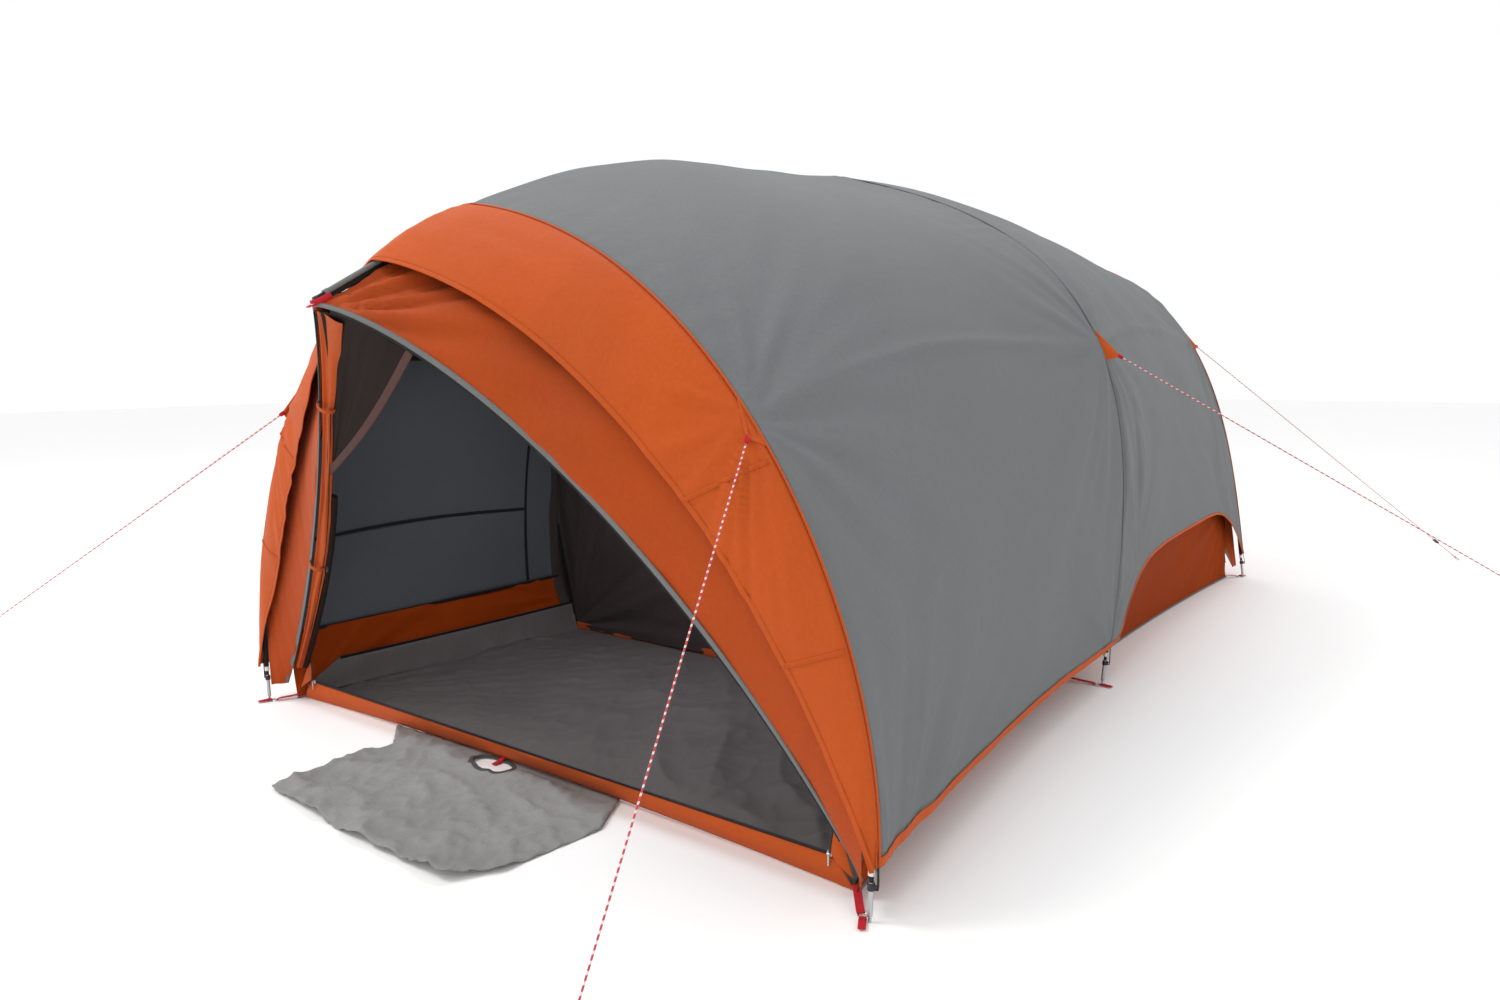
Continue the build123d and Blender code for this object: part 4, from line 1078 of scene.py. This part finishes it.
def divider():
    clear = BODY_INSET + 0.009
    low = value_at(share_at_height, DIVIDER_Y, SKIRT_TOP["rear"], clear)
    c = np.linspace(-1, 1, 181)[None, :]
    share = np.linspace(0, 1, 151)[:, None]
    arch = cloth_point(DIVIDER_Y, c * low, clear)
    foot_x = value_at(floor_half_width, DIVIDER_Y) - 0.012
    foot = np.stack(np.broadcast_arrays(foot_x * c, DIVIDER_Y, 0.008), -1)
    grid = foot + (arch - foot) * share[..., None]
    x, z = grid[..., 0], grid[..., 2]
    height = 0.012 * perlin(x / 0.35, z / 0.9, 150) + 0.004 * perlin(x / 0.09, z / 0.8, 151)
    height += fan(x, z, (-1.05, 0.02), 12, 0.42, 152, 0.016)
    height += fan(x, z, (1.05, 0.02), 12, 0.42, 153, 0.016)
    height += 0.006 * perlin(x / 0.5 + z, z / 0.08, 154) * np.exp(-z / 0.22)
    edge = np.minimum((1 - np.abs(c)) / 0.04, 1) * np.minimum((1 - share) / 0.04, 1)
    cloth(
        "divider_cloth", grid, "dark_wall_fabric", "room_divider", height=height * edge,
        hold="hung", rests_on=("mesh_roof",),
    )
    hem = grid[0] + (0, -0.003, 0.012)
    strap("divider_hem", hem, (0, -1, 0), 0.030, 0.0030, "orange_fabric")
    for side, word in SIDE_NAMES.items():
        path = grid[2:, 0 if side < 0 else -1] + (-side * 0.004, -0.003, 0)
        strap(f"divider_seam_{word}", path, (0, -1, 0), 0.012, 0.0024, "black_webbing")
        z = np.linspace(SHOULDER_HEIGHT, SKIRT_TOP["front"], 50)
        u = share_at_height(DIVIDER_Y + 0 * z, z, BODY_INSET)
        wall = cloth_point(DIVIDER_Y, side * u, BODY_INSET)
        foot = np.array((side * value_at(floor_half_width, DIVIDER_Y), DIVIDER_Y, 0.004))
        skirt = wall[-1] + (foot - wall[-1]) * np.linspace(0.05, 1, 16)[:, None]
        path = np.concatenate((wall, skirt))
        strap(f"divider_joint_{word}", path, (side, 0, 0.2), 0.090, 0.0030, "dark_wall_fabric")


for room in ROOMS:
    room_walls(room)
    room_skirts(room)
wall_tapes()
mesh_roof()
tub_floor()
divider()

# ---- Front door gathered at the left ------------------------------------------------

INWARD = np.array((0.66, 0.58, -0.46))  # from the opening's left edge into the room
DOOR_FOOT = 0.47  # how far down the left edge the mesh curtain reaches
CURTAIN_TOP = 0.155  # how far along the right edge its top is held
CURTAIN_IN = 0.030  # how far into the room its foot is drawn
STRIP_STATIONS = (0, 0.12, 0.33, 0.50, 0.65, 0.80, 0.96)
STRIP_WIDTHS = (0.058, 0.050, 0.024, 0.028, 0.038, 0.028, 0.014)


def door_rim(t):
    """The curtain's free edge, from the brow's right side to the gathered strip."""
    start = opening_edge(np.float64(CURTAIN_TOP), -1) + (0, 0.012, -0.014)
    stop = opening_edge(np.float64(-DOOR_FOOT), -1) + INWARD * CURTAIN_IN
    hang = np.array((-0.012, 0.02, -0.012)) * np.sin(np.pi * t)[..., None]
    return start + (stop - start) * t[..., None] + hang


def mesh_curtain():
    """Dark mesh left hanging in the opening's top corner."""
    s, t = np.linspace(0, 1, 110)[None, :], np.linspace(0, 0.985, 150)[:, None]
    top = opening_edge(CURTAIN_TOP * s, -1) + np.array((0, 0.012, -0.014))
    corner = top[:, :1]
    foot = opening_edge(np.float64(-DOOR_FOOT), -1) + INWARD * CURTAIN_IN
    left = opening_edge(-DOOR_FOOT * t, -1) + np.array((0.008, 0.012, -0.012))
    left = left + INWARD * CURTAIN_IN * t[..., None]
    share, down = s[..., None], t[..., None]
    grid = top * (1 - down) + foot * down
    grid = grid + (1 - share) * (left - corner * (1 - down) - foot * down)
    grid = grid + share * (door_rim(t) - top[:, -1:] * (1 - down) - foot * down)
    folds = 0.010 * perlin(s * 3.2 + 0 * t, t / 0.5, 160) + 0.004 * perlin(s * 9 + 0 * t, t / 0.6, 161)
    grid = grid + np.array((-0.5, 0.8, 0.2)) * (folds * np.sin(np.pi * s))[..., None]
    cloth("door_mesh_curtain", grid, "mesh_fabric", hold="gathered", rests_on=("front_brow",))
    rim = grid[:, -1]
    strap("door_rim_binding", rim, (-0.5, 0.8, 0.2), 0.021, 0.0036, "brown_binding")
    for name, column, stop, width in (("inner", 34, 118, 0.030), ("outer", 66, 74, 0.024)):
        fold = grid[4:stop, column] + np.array((0.012, 0.030, -0.004))
        fold = fold + np.array((-1, 0, 0)) * 0.02 * np.linspace(0, 1, len(fold))[:, None]
        strap(f"door_{name}_fold", fold, (-0.4, -0.9, 0.1), width, 0.0040, "shaded_orange")


def front_door():
    a = np.linspace(0.012, 0.955, 220)[:, None]
    share = np.linspace(0, 1, 30)[None, :]
    edge = opening_edge(-a, -1) + np.array((0.008, 0.004, -0.008))
    width = np.interp(a, STRIP_STATIONS, STRIP_WIDTHS)
    grid = edge + INWARD * (width * share * 1.15)[..., None]
    lateral = unit(np.array((-0.55, 0.83, 0.25)))
    pleat = np.sin(share * (6 + 3 * a) + 1.5 * perlin(a / 0.12, share, 160)) * 0.006
    pleat = pleat * np.minimum(share / 0.15, 1) + 0.007 * perlin(a / 0.25, share * 1.5, 161) * share
    grid = grid + lateral * pleat[..., None]
    cloth(
        "door_orange_strip", grid, "orange_fabric", "front_door_bundle",
        hold="gathered", rests_on=("front_brow",),
    )
    rolled = grid[80:, 16] + lateral * 0.016
    strap("door_rolled_core", rolled, lateral, 0.024, 0.018, "shaded_orange", square=0.85)
    mesh_roll = grid[118:, 24] + lateral * 0.010 + INWARD * 0.010
    strap("door_rolled_mesh", mesh_roll, lateral, 0.026, 0.014, "mesh_fabric", square=0.85)
    seam = grid[70:, 22] + lateral * 0.001 - INWARD * 0.001
    strap("door_strip_zip", seam, -lateral, 0.009, 0.0030, "black_webbing")
    mesh_curtain()


def door_tie(a, name):
    """Loop and toggle that hold the gathered door to the opening's edge."""
    x, y, z = opening_edge(np.float64(-a), -1)
    centre = Vector((x, y, z)) + Vector(INWARD) * 0.022
    along = (vec(opening_edge(np.float64(-a - 0.02), -1)) - Vector((x, y, z))).normalized()
    wide, deep = 0.027, 0.024
    lateral = along.cross(Vector(INWARD)).normalized()
    ring = []
    for i in range(37):
        turn = 2 * math.pi * i / 36
        out = Vector(INWARD) * (wide * math.cos(turn))
        ring.append(centre + out + lateral * (deep * math.sin(turn)))
    faces = [(p - centre).normalized() for p in ring]
    strap(f"door_tie_loop_{name}", ring, faces, 0.015, 0.0022, "orange_fabric", "door_ties")
    toggle_at = centre + Vector(INWARD) * (wide + 0.008)
    points = [toggle_at + along * (0.013 * t) for t in np.linspace(-1, 1, 15)]
    strap(f"door_toggle_{name}", points, INWARD, 0.009, 0.009, "black_plastic", "door_ties", square=1)


front_door()
for place, name in ((0.30, "upper"), (0.70, "lower")):
    door_tie(place, name)


# ---- Door mat -----------------------------------------------------------------------

MAT_OUTLINE = (
    (-0.640, -1.985), (-0.500, -2.095), (-0.512, -2.215), (-0.490, -2.505), (-0.050, -2.540),
    (0.350, -2.540), (0.430, -2.420), (0.470, -2.130), (0.380, -1.962), (-0.100, -1.950),
)
MAT_HOLE = (-0.100, -2.024, 0.165, 0.084)  # centre and size
MAT_STEP, MAT_SHIFT = 0.0115, 0.002  # spacing of the mesh points, and how far each strays


def resampled(points, step, wobble, seed):
    """Points every step round an outline, each pushed a little way sideways."""
    ring = np.array(list(points) + [points[0]], float)
    reach = distances(ring)
    stops = np.linspace(0, reach[-1], round(reach[-1] / step), endpoint=False)
    spots = np.stack([np.interp(stops, reach, ring[:, i]) for i in (0, 1)], -1)
    push = perlin(stops / 0.05, stops * 0 + 0.5, seed) + 0.6 * perlin(stops / 0.016, stops * 0, seed)
    towards = unit(spots.mean(axis=0) - spots)
    return spots + towards * (np.abs(wobble * push) + wobble * 0.2)[:, None]


def inside_outline(spots, ring):
    """Which spots lie inside a closed ring."""
    x, y = spots[:, 0], spots[:, 1]
    within = np.zeros(len(spots), bool)
    for (x0, y0), (x1, y1) in zip(ring, np.roll(ring, -1, axis=0)):
        crosses = (y0 > y) != (y1 > y)
        within ^= crosses & (x < (x1 - x0) * (y - y0) / (y1 - y0 + 1e-12) + x0)
    return within


def mat_height(x, y):
    folds = creased(perlin(x / 0.24 + y / 0.5, y / 0.16, 170), 2.4)
    small = creased(perlin(x / 0.07, y / 0.09, 171), 3.0)
    lift = 0.011 * folds + 0.0090 * small + 0.007 * (perlin(x / 0.3, y / 0.3, 172) + 0.4)
    front = np.clip((-2.36 - y) / 0.18, 0, 1)
    lift = lift + 0.016 * front * creased(perlin(x / 0.16, y / 0.3, 173), 1.5)
    return 0.0006 + np.maximum(lift, 0.0006) * np.clip((-1.965 - y) / 0.06, 0, 1)


def mat_hole():
    """Outline of the hole, a rounded rectangle."""
    cx, cy, width, depth = MAT_HOLE
    turn = np.linspace(0, 2 * np.pi, 44, endpoint=False)
    bend = np.stack((np.cos(turn), np.sin(turn)), -1)
    bend = np.sign(bend) * np.abs(bend) ** np.array((0.75, 0.85))
    return bend * (width / 2, depth / 2) + (cx, cy)


def mat_field(ring, hole):
    """Points inside the outline and clear of the hole, a little out of line."""
    low, high = ring.min(axis=0), ring.max(axis=0)
    steps = [np.arange(low[i], high[i], MAT_STEP) for i in (0, 1)]
    field = np.stack(np.meshgrid(*steps), -1).reshape(-1, 2)
    field = field + np.random.RandomState(175).uniform(-MAT_SHIFT, MAT_SHIFT, field.shape)
    centre = MAT_HOLE[:2]
    wider = (hole - centre) * 1.12 + centre
    keep = inside_outline(field, ring) & ~inside_outline(field, wider)
    near_edge = np.min(np.linalg.norm(field[:, None] - ring[None], axis=-1), axis=1) < 0.005
    return field[keep & ~near_edge]


def mat_triangles(ring, hole):
    """Flat points and the triangles between the outline and the hole."""
    spots = np.concatenate((ring, hole, mat_field(ring, hole)))
    loops = []
    for start, count in ((0, len(ring)), (len(ring), len(hole))):
        loops += [(start + i, start + (i + 1) % count) for i in range(count)]
    made = geometry.delaunay_2d_cdt([Vector(p) for p in spots.tolist()], loops, [], 0, 1e-5)
    flat = np.array([tuple(v) for v in made[0]])
    faces = [list(f) for f in made[2]]
    middle = np.array([flat[f].mean(axis=0) for f in faces])
    good = inside_outline(middle, ring) & ~inside_outline(middle, hole)
    return flat, [f for f, ok in zip(faces, good) if ok]


def on_mat(flat, lift=0.0):
    return np.concatenate((flat, mat_height(flat[:, 0], flat[:, 1])[:, None] + lift), axis=1)


def door_mat():
    ring = resampled(MAT_OUTLINE, 0.012, 0.005, 174)
    hole = mat_hole()
    flat, faces = mat_triangles(ring, hole)
    piece = mesh_object("door_mat_cloth", on_mat(flat), faces, flat)
    solid = piece.modifiers.new("thickness", "SOLIDIFY")
    solid.thickness, solid.offset = CLOTH_THICK, 0
    finish_piece(piece, "mat_fabric", "door_mat")
    rim = on_mat(np.concatenate((hole, hole[:2])), 0.0004)
    strap("door_mat_hole_binding", rim, (0, 0, 1), 0.014, 0.0036, "mat_binding")


door_mat()

# ---- Webbing, feet and guy flaps ----------------------------------------------------

HOOP_INSET_TOP, HOOP_INSET_FOOT = 0.029, 0.011
STRAIGHT_FOOT_SHARE = 0.88
RED = "red_webbing"
FLAP_HALF_SHARE = 0.027
PEG_STITCH = (0.0021, 0.0007, 0.0006)


def foot_point(y, side):
    return Vector((side * float(cloth_point(y, 1.0, HOOP_INSET_FOOT)[0]), y, 0))


def foot_direction(y, side):
    inset = HOOP_INSET_TOP + (HOOP_INSET_FOOT - HOOP_INSET_TOP) * STRAIGHT_FOOT_SHARE
    x, _, z = cloth_point(y, STRAIGHT_FOOT_SHARE, inset)
    return (Vector((side * x, y, z)) - foot_point(y, side)).normalized()


def ring_centre(y, side):
    foot = foot_point(y, side)
    if y == MID_Y:
        return Vector((foot.x - side * 0.010, y - 0.026, 0.0023))
    return Vector((foot.x - side * 0.022, y - math.copysign(0.009, y), 0.0023))


def eased_path(points, count=24):
    """A smooth path through a few points."""
    points = np.array([tuple(p) for p in points], float)
    reach = distances(points)
    stops = np.linspace(0, reach[-1], count)
    path = np.stack([np.interp(stops, reach, points[:, i]) for i in range(3)], -1)
    for _ in range(3):
        path[1:-1] = (path[:-2] + 2 * path[1:-1] + path[2:]) / 4
    return path


def peg_loop(name, start, away):
    """Doubled webbing for a peg, with three short rows of stitches at its root."""
    up = Vector((0, 0, 1))
    stop = start + away * 0.047
    for word, lift, droop in (("top", 0.0024, 0.0008), ("bottom", -0.0006, -0.0008)):
        path = [start + up * (lift - 0.001), start + away * 0.014 + up * lift]
        path += [stop - away * 0.010 + up * droop, stop + up * -0.0006]
        strap(f"peg_loop_{word}_{name}", eased_path(path), up, 0.018, 0.0018, RED, "corner_webbing")
    across = up.cross(away)

    def spot(forward, sideways):
        return tuple(start + away * forward + up * 0.0035 + across * sideways)

    near, far, half = 0.013, 0.023, 0.0065
    ends = (
        ((near, -half), (far, -half)), ((near, half), (far, half)), ((near, -half), (near, half)),
    )
    rows = [np.linspace(spot(*first), spot(*last), 8) for first, last in ends]
    dashes(f"peg_stitches_{name}", rows, [(0, 0, 1)] * 3, 0.0030, PEG_STITCH, "dark_thread", 0.0006)


def corner_webbing(place, side):
    """Strap from the floor's corner to the ring, and the peg loop beyond it."""
    y = HOOPS[place]
    name = guy_name(place, side)
    ring = ring_centre(y, side)
    up = Vector((0, 0, 1))
    if place == "mid":
        aim = Vector((side * (value_at(floor_half_width, y) + 0.004), ring.y, 0.012))
        start = aim
        away = Vector((side, 0, 0))
    else:
        aim = Vector((side * (FLOOR_CORNER_X + 0.004), y - math.copysign(0.036, y), 0.016))
        start = Vector((side * (FLOOR_CORNER_X - 0.006), FLOOR_Y[1 if y > 0 else -1], 0.018))
        away = Vector((side * 0.45, math.copysign(0.9, y), 0)).normalized()
    toward = (ring - aim).normalized()
    over = ring - toward * 0.011
    path = [start, start.lerp(over, 0.5) + up * 0.001]
    path += [over + up * 0.0035, over + toward * 0.004 + up * 0.0005]
    strap(f"corner_strap_{name}", eased_path(path), up, 0.020, 0.0022, RED, "corner_webbing")
    peg_loop(name, ring + away * 0.009 + up * 0.0030, away)


def hem_strap(place, side):
    """Short black strap from the foot clip's hook up to the fly's hem."""
    y = HOOPS[place]
    foot, up = foot_point(y, side), foot_direction(y, side)
    hook = foot + up * 0.084 + Vector((side * 0.0130, 0, 0))
    height = value_at(hem_height, y) + 0.016
    u = value_at(share_at_height, y, height)
    hem = vec(cloth_point(y, u))
    hem.x = side * (abs(hem.x) - 0.0020)
    points = [hook + Vector((side * 0.0035, 0, -0.004)), hook + Vector((side * 0.0045, 0, 0.004)), hem]
    path = eased_path(points, 16)
    strap(f"hem_strap_{guy_name(place, side)}", path, (side, 0, 0.1), 0.009, 0.0016, "black_webbing")


def pole_sleeve(place, side):
    """Black cloth cover on the lowest stretch of a hoop pole, above its white collar."""
    y = HOOPS[place]
    foot, up = foot_point(y, side), foot_direction(y, side)
    z = np.linspace(0.24, 0.52, 24)
    share = share_at_height(y + 0 * z, z, HOOP_INSET_FOOT + 0.002)
    inset = HOOP_INSET_TOP + (HOOP_INSET_FOOT - HOOP_INSET_TOP) * share
    upper = np.array([cloth_point(y, side * s, i) for s, i in zip(share, inset)])
    lower = [foot + up * 0.128, foot + up * 0.150]
    path = np.concatenate(([tuple(p) for p in lower], upper))
    name = guy_name(place, side)
    path = eased_path(path, 40)
    strap(f"pole_sleeve_{name}", path, (0, 1, 0), 0.0155, 0.0155, "black_webbing", square=0.95)


def guy_flap(place, side):
    """Orange triangle sewn to the fly, with hemmed edges and a red webbing loop."""
    y, u = GUY_POINTS[place]
    name = guy_name(place, side)
    tip = guy_tip(place, side)
    high = vec(cloth_point(y, side * (u - FLAP_HALF_SHARE), -0.001))
    low = vec(cloth_point(y, side * (u + FLAP_HALF_SHARE), -0.001))
    middle = (high + low) / 2
    along = (tip - middle).normalized()
    nose = tip - along * 0.012
    facing = (low - high).cross(along).normalized()
    grid = []
    for t in np.linspace(0, 1, 22):
        centre, half = middle.lerp(nose, t), (low - high) / 2 * max(1 - t, 0.09)
        sway = [facing * (0.005 * math.sin(3 * t) * math.cos(1.5 * s)) for s in np.linspace(-1, 1, 17)]
        row = [centre + half * s for s in np.linspace(-1, 1, 17)]
        grid.append([tuple(p + push) for p, push in zip(row, sway)])
    grid = np.array(grid)
    cloth(
        f"guy_flap_{name}_cloth", grid, "orange_fabric", "guy_flaps",
        thick=0.0016, hold="stretched", rests_on=(f"fly_{'front' if y <= MID_Y else 'rear'}_bay",),
        cut=((high - low).length, (middle - nose).length),
    )
    for word, column in (("upper", 0), ("lower", -1)):
        edge = grid[:, column]
        strap(f"guy_flap_{name}_{word}_edge", edge, facing, 0.008, 0.0034, "orange_fabric")
    across = along.cross(facing).normalized()
    loop, faces = [], []
    for i in range(25):
        turn = math.pi * (1.8 * i / 24 - 0.9)
        swing = along * (0.010 * math.cos(turn)) + facing * (0.0045 * math.sin(turn))
        loop.append(nose + along * 0.006 + swing)
        faces.append(swing.cross(across).cross(across) * -1)
    faces = [face.normalized() for face in faces]
    strap(f"guy_webbing_{name}", loop, faces, 0.010, 0.0016, RED, "guy_flap_loops")


for place in HOOPS:
    for side in (-1, 1):
        corner_webbing(place, side)
        hem_strap(place, side)
        pole_sleeve(place, side)
        guy_flap(place, side)


TIP_TAB = ((-0.016, 0.007), (0.004, 0.0015), (0.012, -0.004))  # beyond and above the tip
TIP_WRAP = ((-0.044, 0.026), (-0.022, 0.014), (-0.001, 0.004))


def tip_tab(name, end, tip):
    """Red tab with its steel grommet, and the red wrap over the brow's tip."""
    paths = []
    for steps in (TIP_TAB, TIP_WRAP):
        paths.append(eased_path([tip + Vector((0, end * y, z)) for y, z in steps], 20))
    strap(f"{name}_tip_tab", paths[0], (0, 0.3 * end, 1), 0.020, 0.0022, RED, "brow_tabs")
    strap(f"{name}_tip_wrap", paths[1], (0, end, 2.0), 0.021, 0.019, RED, square=0.6)
    middle = Vector(paths[0][10])
    ring = []
    for i in range(25):
        turn = 2 * math.pi * i / 24
        x, y = 0.0062 * math.cos(turn), 0.0058 * math.sin(turn) * end
        ring.append(middle + Vector((x, y, 0.0018 - 0.0020 * math.sin(turn))))
    strap(f"{name}_tip_grommet", ring, (0, 0.3 * end, 1), 0.0032, 0.0016, "ring_steel", square=0.9)


def brow_end(end):
    """Sleeve of the ridge pole's last stretch, its black backing and the red tip tab."""
    name = END_NAMES[end]
    hoop_y = BROW[end][2]
    tip = opening_edge(np.float64(0), end)
    outer = np.array((0, tip[1] - end * 0.012, tip[2] + 0.019))
    inner = cloth_point(hoop_y, 0.0, RIDGE_INSET)
    along = unit(outer - inner)
    up = np.cross((end, 0, 0), along)
    up = up * np.sign(up[2])
    path = np.linspace(inner + along * 0.16, outer - along * 0.030, 40)
    strap(f"{name}_ridge_sleeve", path + up * 0.001, up, 0.0136, 0.0132, "grey_binding", square=0.95)
    strap(f"{name}_ridge_sleeve_web", path - up * 0.0115, (1, 0, 0), 0.012, 0.0030, "black_webbing")
    cuff = np.linspace(outer - along * 0.034, outer - along * 0.022, 6)
    strap(f"{name}_ridge_cuff", cuff + up * 0.001, up, 0.0165, 0.0160, "grey_binding", square=0.95)
    tip_tab(name, end, vec(tip))


PEG_LOOP_X = -0.100


def threshold_peg():
    """Red peg loop at the foot of the front sill."""
    y = FLOOR_Y[-1] + FLOOR_BOW - 0.014
    stop = Vector((PEG_LOOP_X, y - 0.040, 0.0036))
    for word, lift in (("upper", 0.0026), ("lower", 0.0)):
        start = Vector((PEG_LOOP_X, y, 0.012)) + Vector((0, 0.004, lift))
        points = [start, Vector((PEG_LOOP_X, y - 0.018, 0.0036 + lift)), stop]
        path = eased_path(points)
        strap(f"threshold_peg_{word}", path, (0, 0, 1), 0.018, 0.0017, RED, "threshold_peg_loop")


def patch_grid(edges, rows, columns, bulge):
    """A patch between a near and a far edge that bulges out across the middle."""
    t, s = np.linspace(0, 1, rows)[:, None, None], np.linspace(0, 1, columns)[None, :, None]
    (near_low, near_high), (far_low, far_high) = np.array(edges)
    near = near_low + (near_high - near_low) * t
    far = far_low + (far_high - far_low) * t
    return near + (far - near) * s + bulge * np.sin(np.pi * s)


FLAP_TOP, FLAP_TOP_WIDTH = (1.108, -2.013, 0.150), 0.010
FLAP_FOOT = ((1.100, -2.020, 0.082), (1.168, -2.026, 0.040))  # its inner and outer corner


def corner_flap(side):
    """Small orange flap that covers the zip's end at a lower corner of the doorway."""
    word = SIDE_NAMES[side]
    mirror = np.array((side, 1, 1))
    top = FLAP_TOP * mirror
    inner, outer = (np.array(corner) * mirror for corner in FLAP_FOOT)
    t, s = np.linspace(0, 1, 24)[:, None, None], np.linspace(0, 1, 16)[None, :, None]
    foot = inner + (outer - inner) * s
    over = (side * FLAP_TOP_WIDTH, 0, 0) * s
    grid = top + over + (foot - top - over) * t
    grid = grid - (0, 0.006, 0) * np.sin(np.pi * s) * t
    cloth(
        f"corner_flap_{word}", grid, "orange_fabric",
        flip=side > 0, hold="hung", rests_on=("front_threshold",),
    )
    edge = grid[:, 0] + (-side * 0.004, -0.001, 0) * np.sin(np.pi * t[:, 0])
    strap(f"corner_flap_zip_{word}", edge, (0, -1, 0), 0.006, 0.0030, "black_zip")


def rear_gusset(side):
    """Orange corner piece between the rear threshold's end and the side skirt."""
    y = FLOOR_Y[1]
    near = ((side * 1.156, y + 0.001, 0.004), (side * 1.106, ZIP_Y[1] + 0.001, ZIP_Z + 0.002))
    far = ((side * 1.170, y - 0.001, 0.004), (side * 1.172, y - 0.002, ZIP_Z + 0.040))
    grid = patch_grid((near, far), 20, 14, np.array((0, 0.004, 0)))
    cloth(
        f"rear_gusset_{SIDE_NAMES[side]}", grid, "orange_fabric",
        flip=side > 0, hold="stretched", rests_on=("rear_threshold",),
    )


for end in (-1, 1):
    brow_end(end)
for side in (-1, 1):
    corner_flap(side)
    rear_gusset(side)
threshold_peg()

# ---- Materials of the frame's own parts ---------------------------------------------

KEPT = {
    "pole_metal": ("front_hoop_pole", "mid_hoop_pole", "rear_hoop_pole", "ridge_pole"),
    "tip_metal": ("pole_ferrules", "pole_tips"),
    "white_plastic": ("pole_collars",),
    "black_plastic": ("foot_clips", "ridge_clips", "brow_caps"),
    "ring_steel": ("foot_rings",),
    "zip_metal": (
        "front_left_zip_slider", "front_right_zip_slider", "rear_zip_slider",
        "front_left_pull_tab", "front_right_pull_tab", "rear_pull_tab",
    ),
}


def dress_frame():
    for look, names in KEPT.items():
        for name in names:
            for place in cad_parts[name].material_slots:
                place.material = MATERIALS[look]
    for guy in GUY_GROUND:
        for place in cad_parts[f"guy_tensioner_{guy_name(*guy)}"].material_slots:
            place.material = MATERIALS["black_plastic"]


dress_frame()

# ---- Studio -------------------------------------------------------------------------


def area_light(name, place, target, size, power, colour=(1, 1, 1)):
    data = bpy.data.lights.new(name, "AREA")
    data.shape, data.size, data.energy, data.color = "DISK", size, power, colour
    light = put(bpy.data.objects.new(name, data))
    light.location = place
    light.rotation_euler = (Vector(target) - Vector(place)).to_track_quat("-Z", "Y").to_euler()
    light.visible_camera = False


def studio():
    bpy.ops.mesh.primitive_plane_add(size=60, location=(0, 0, -0.0008))
    floor = bpy.context.object
    floor.name = "studio_floor"
    material, tree, shader = new_material("studio_floor", 0.9)
    place = node(tree, "ShaderNodeTexCoord").outputs["Object"]
    patches = node(tree, "ShaderNodeTexNoise", {"Vector": place, "Scale": 0.7, "Detail": 3.0})
    base = mixed(tree, patches.outputs["Fac"], (0.94, 0.94, 0.94, 1), (0.96, 0.96, 0.96, 1))
    tree.links.new(base, shader.inputs["Base Color"])
    floor.data.materials.append(material)
    world = bpy.data.worlds.new("studio")
    bpy.context.scene.world = world
    bpy.context.scene.view_settings.view_transform = "Standard"
    world.use_nodes = True
    background = world.node_tree.nodes["Background"]
    background.inputs["Color"].default_value = (1, 1, 1, 1)
    background.inputs["Strength"].default_value = 1.0
    area_light("key", (-3.5, -5.0, 7.0), (0, -0.5, 0.7), 3.0, 260, (1, 0.98, 0.95))
    area_light("top", (0, 1.0, 7.5), (0, 0, 0), 5.0, 120)
    area_light("room_glow", (0, -1.35, 1.30), (0, -1.35, 0), 1.0, 11, (0.96, 0.96, 1.0))
    area_light("rear_glow", (0, 0.7, 1.45), (0, 0.7, 0), 1.2, 5, (1, 0.93, 0.86))


studio()
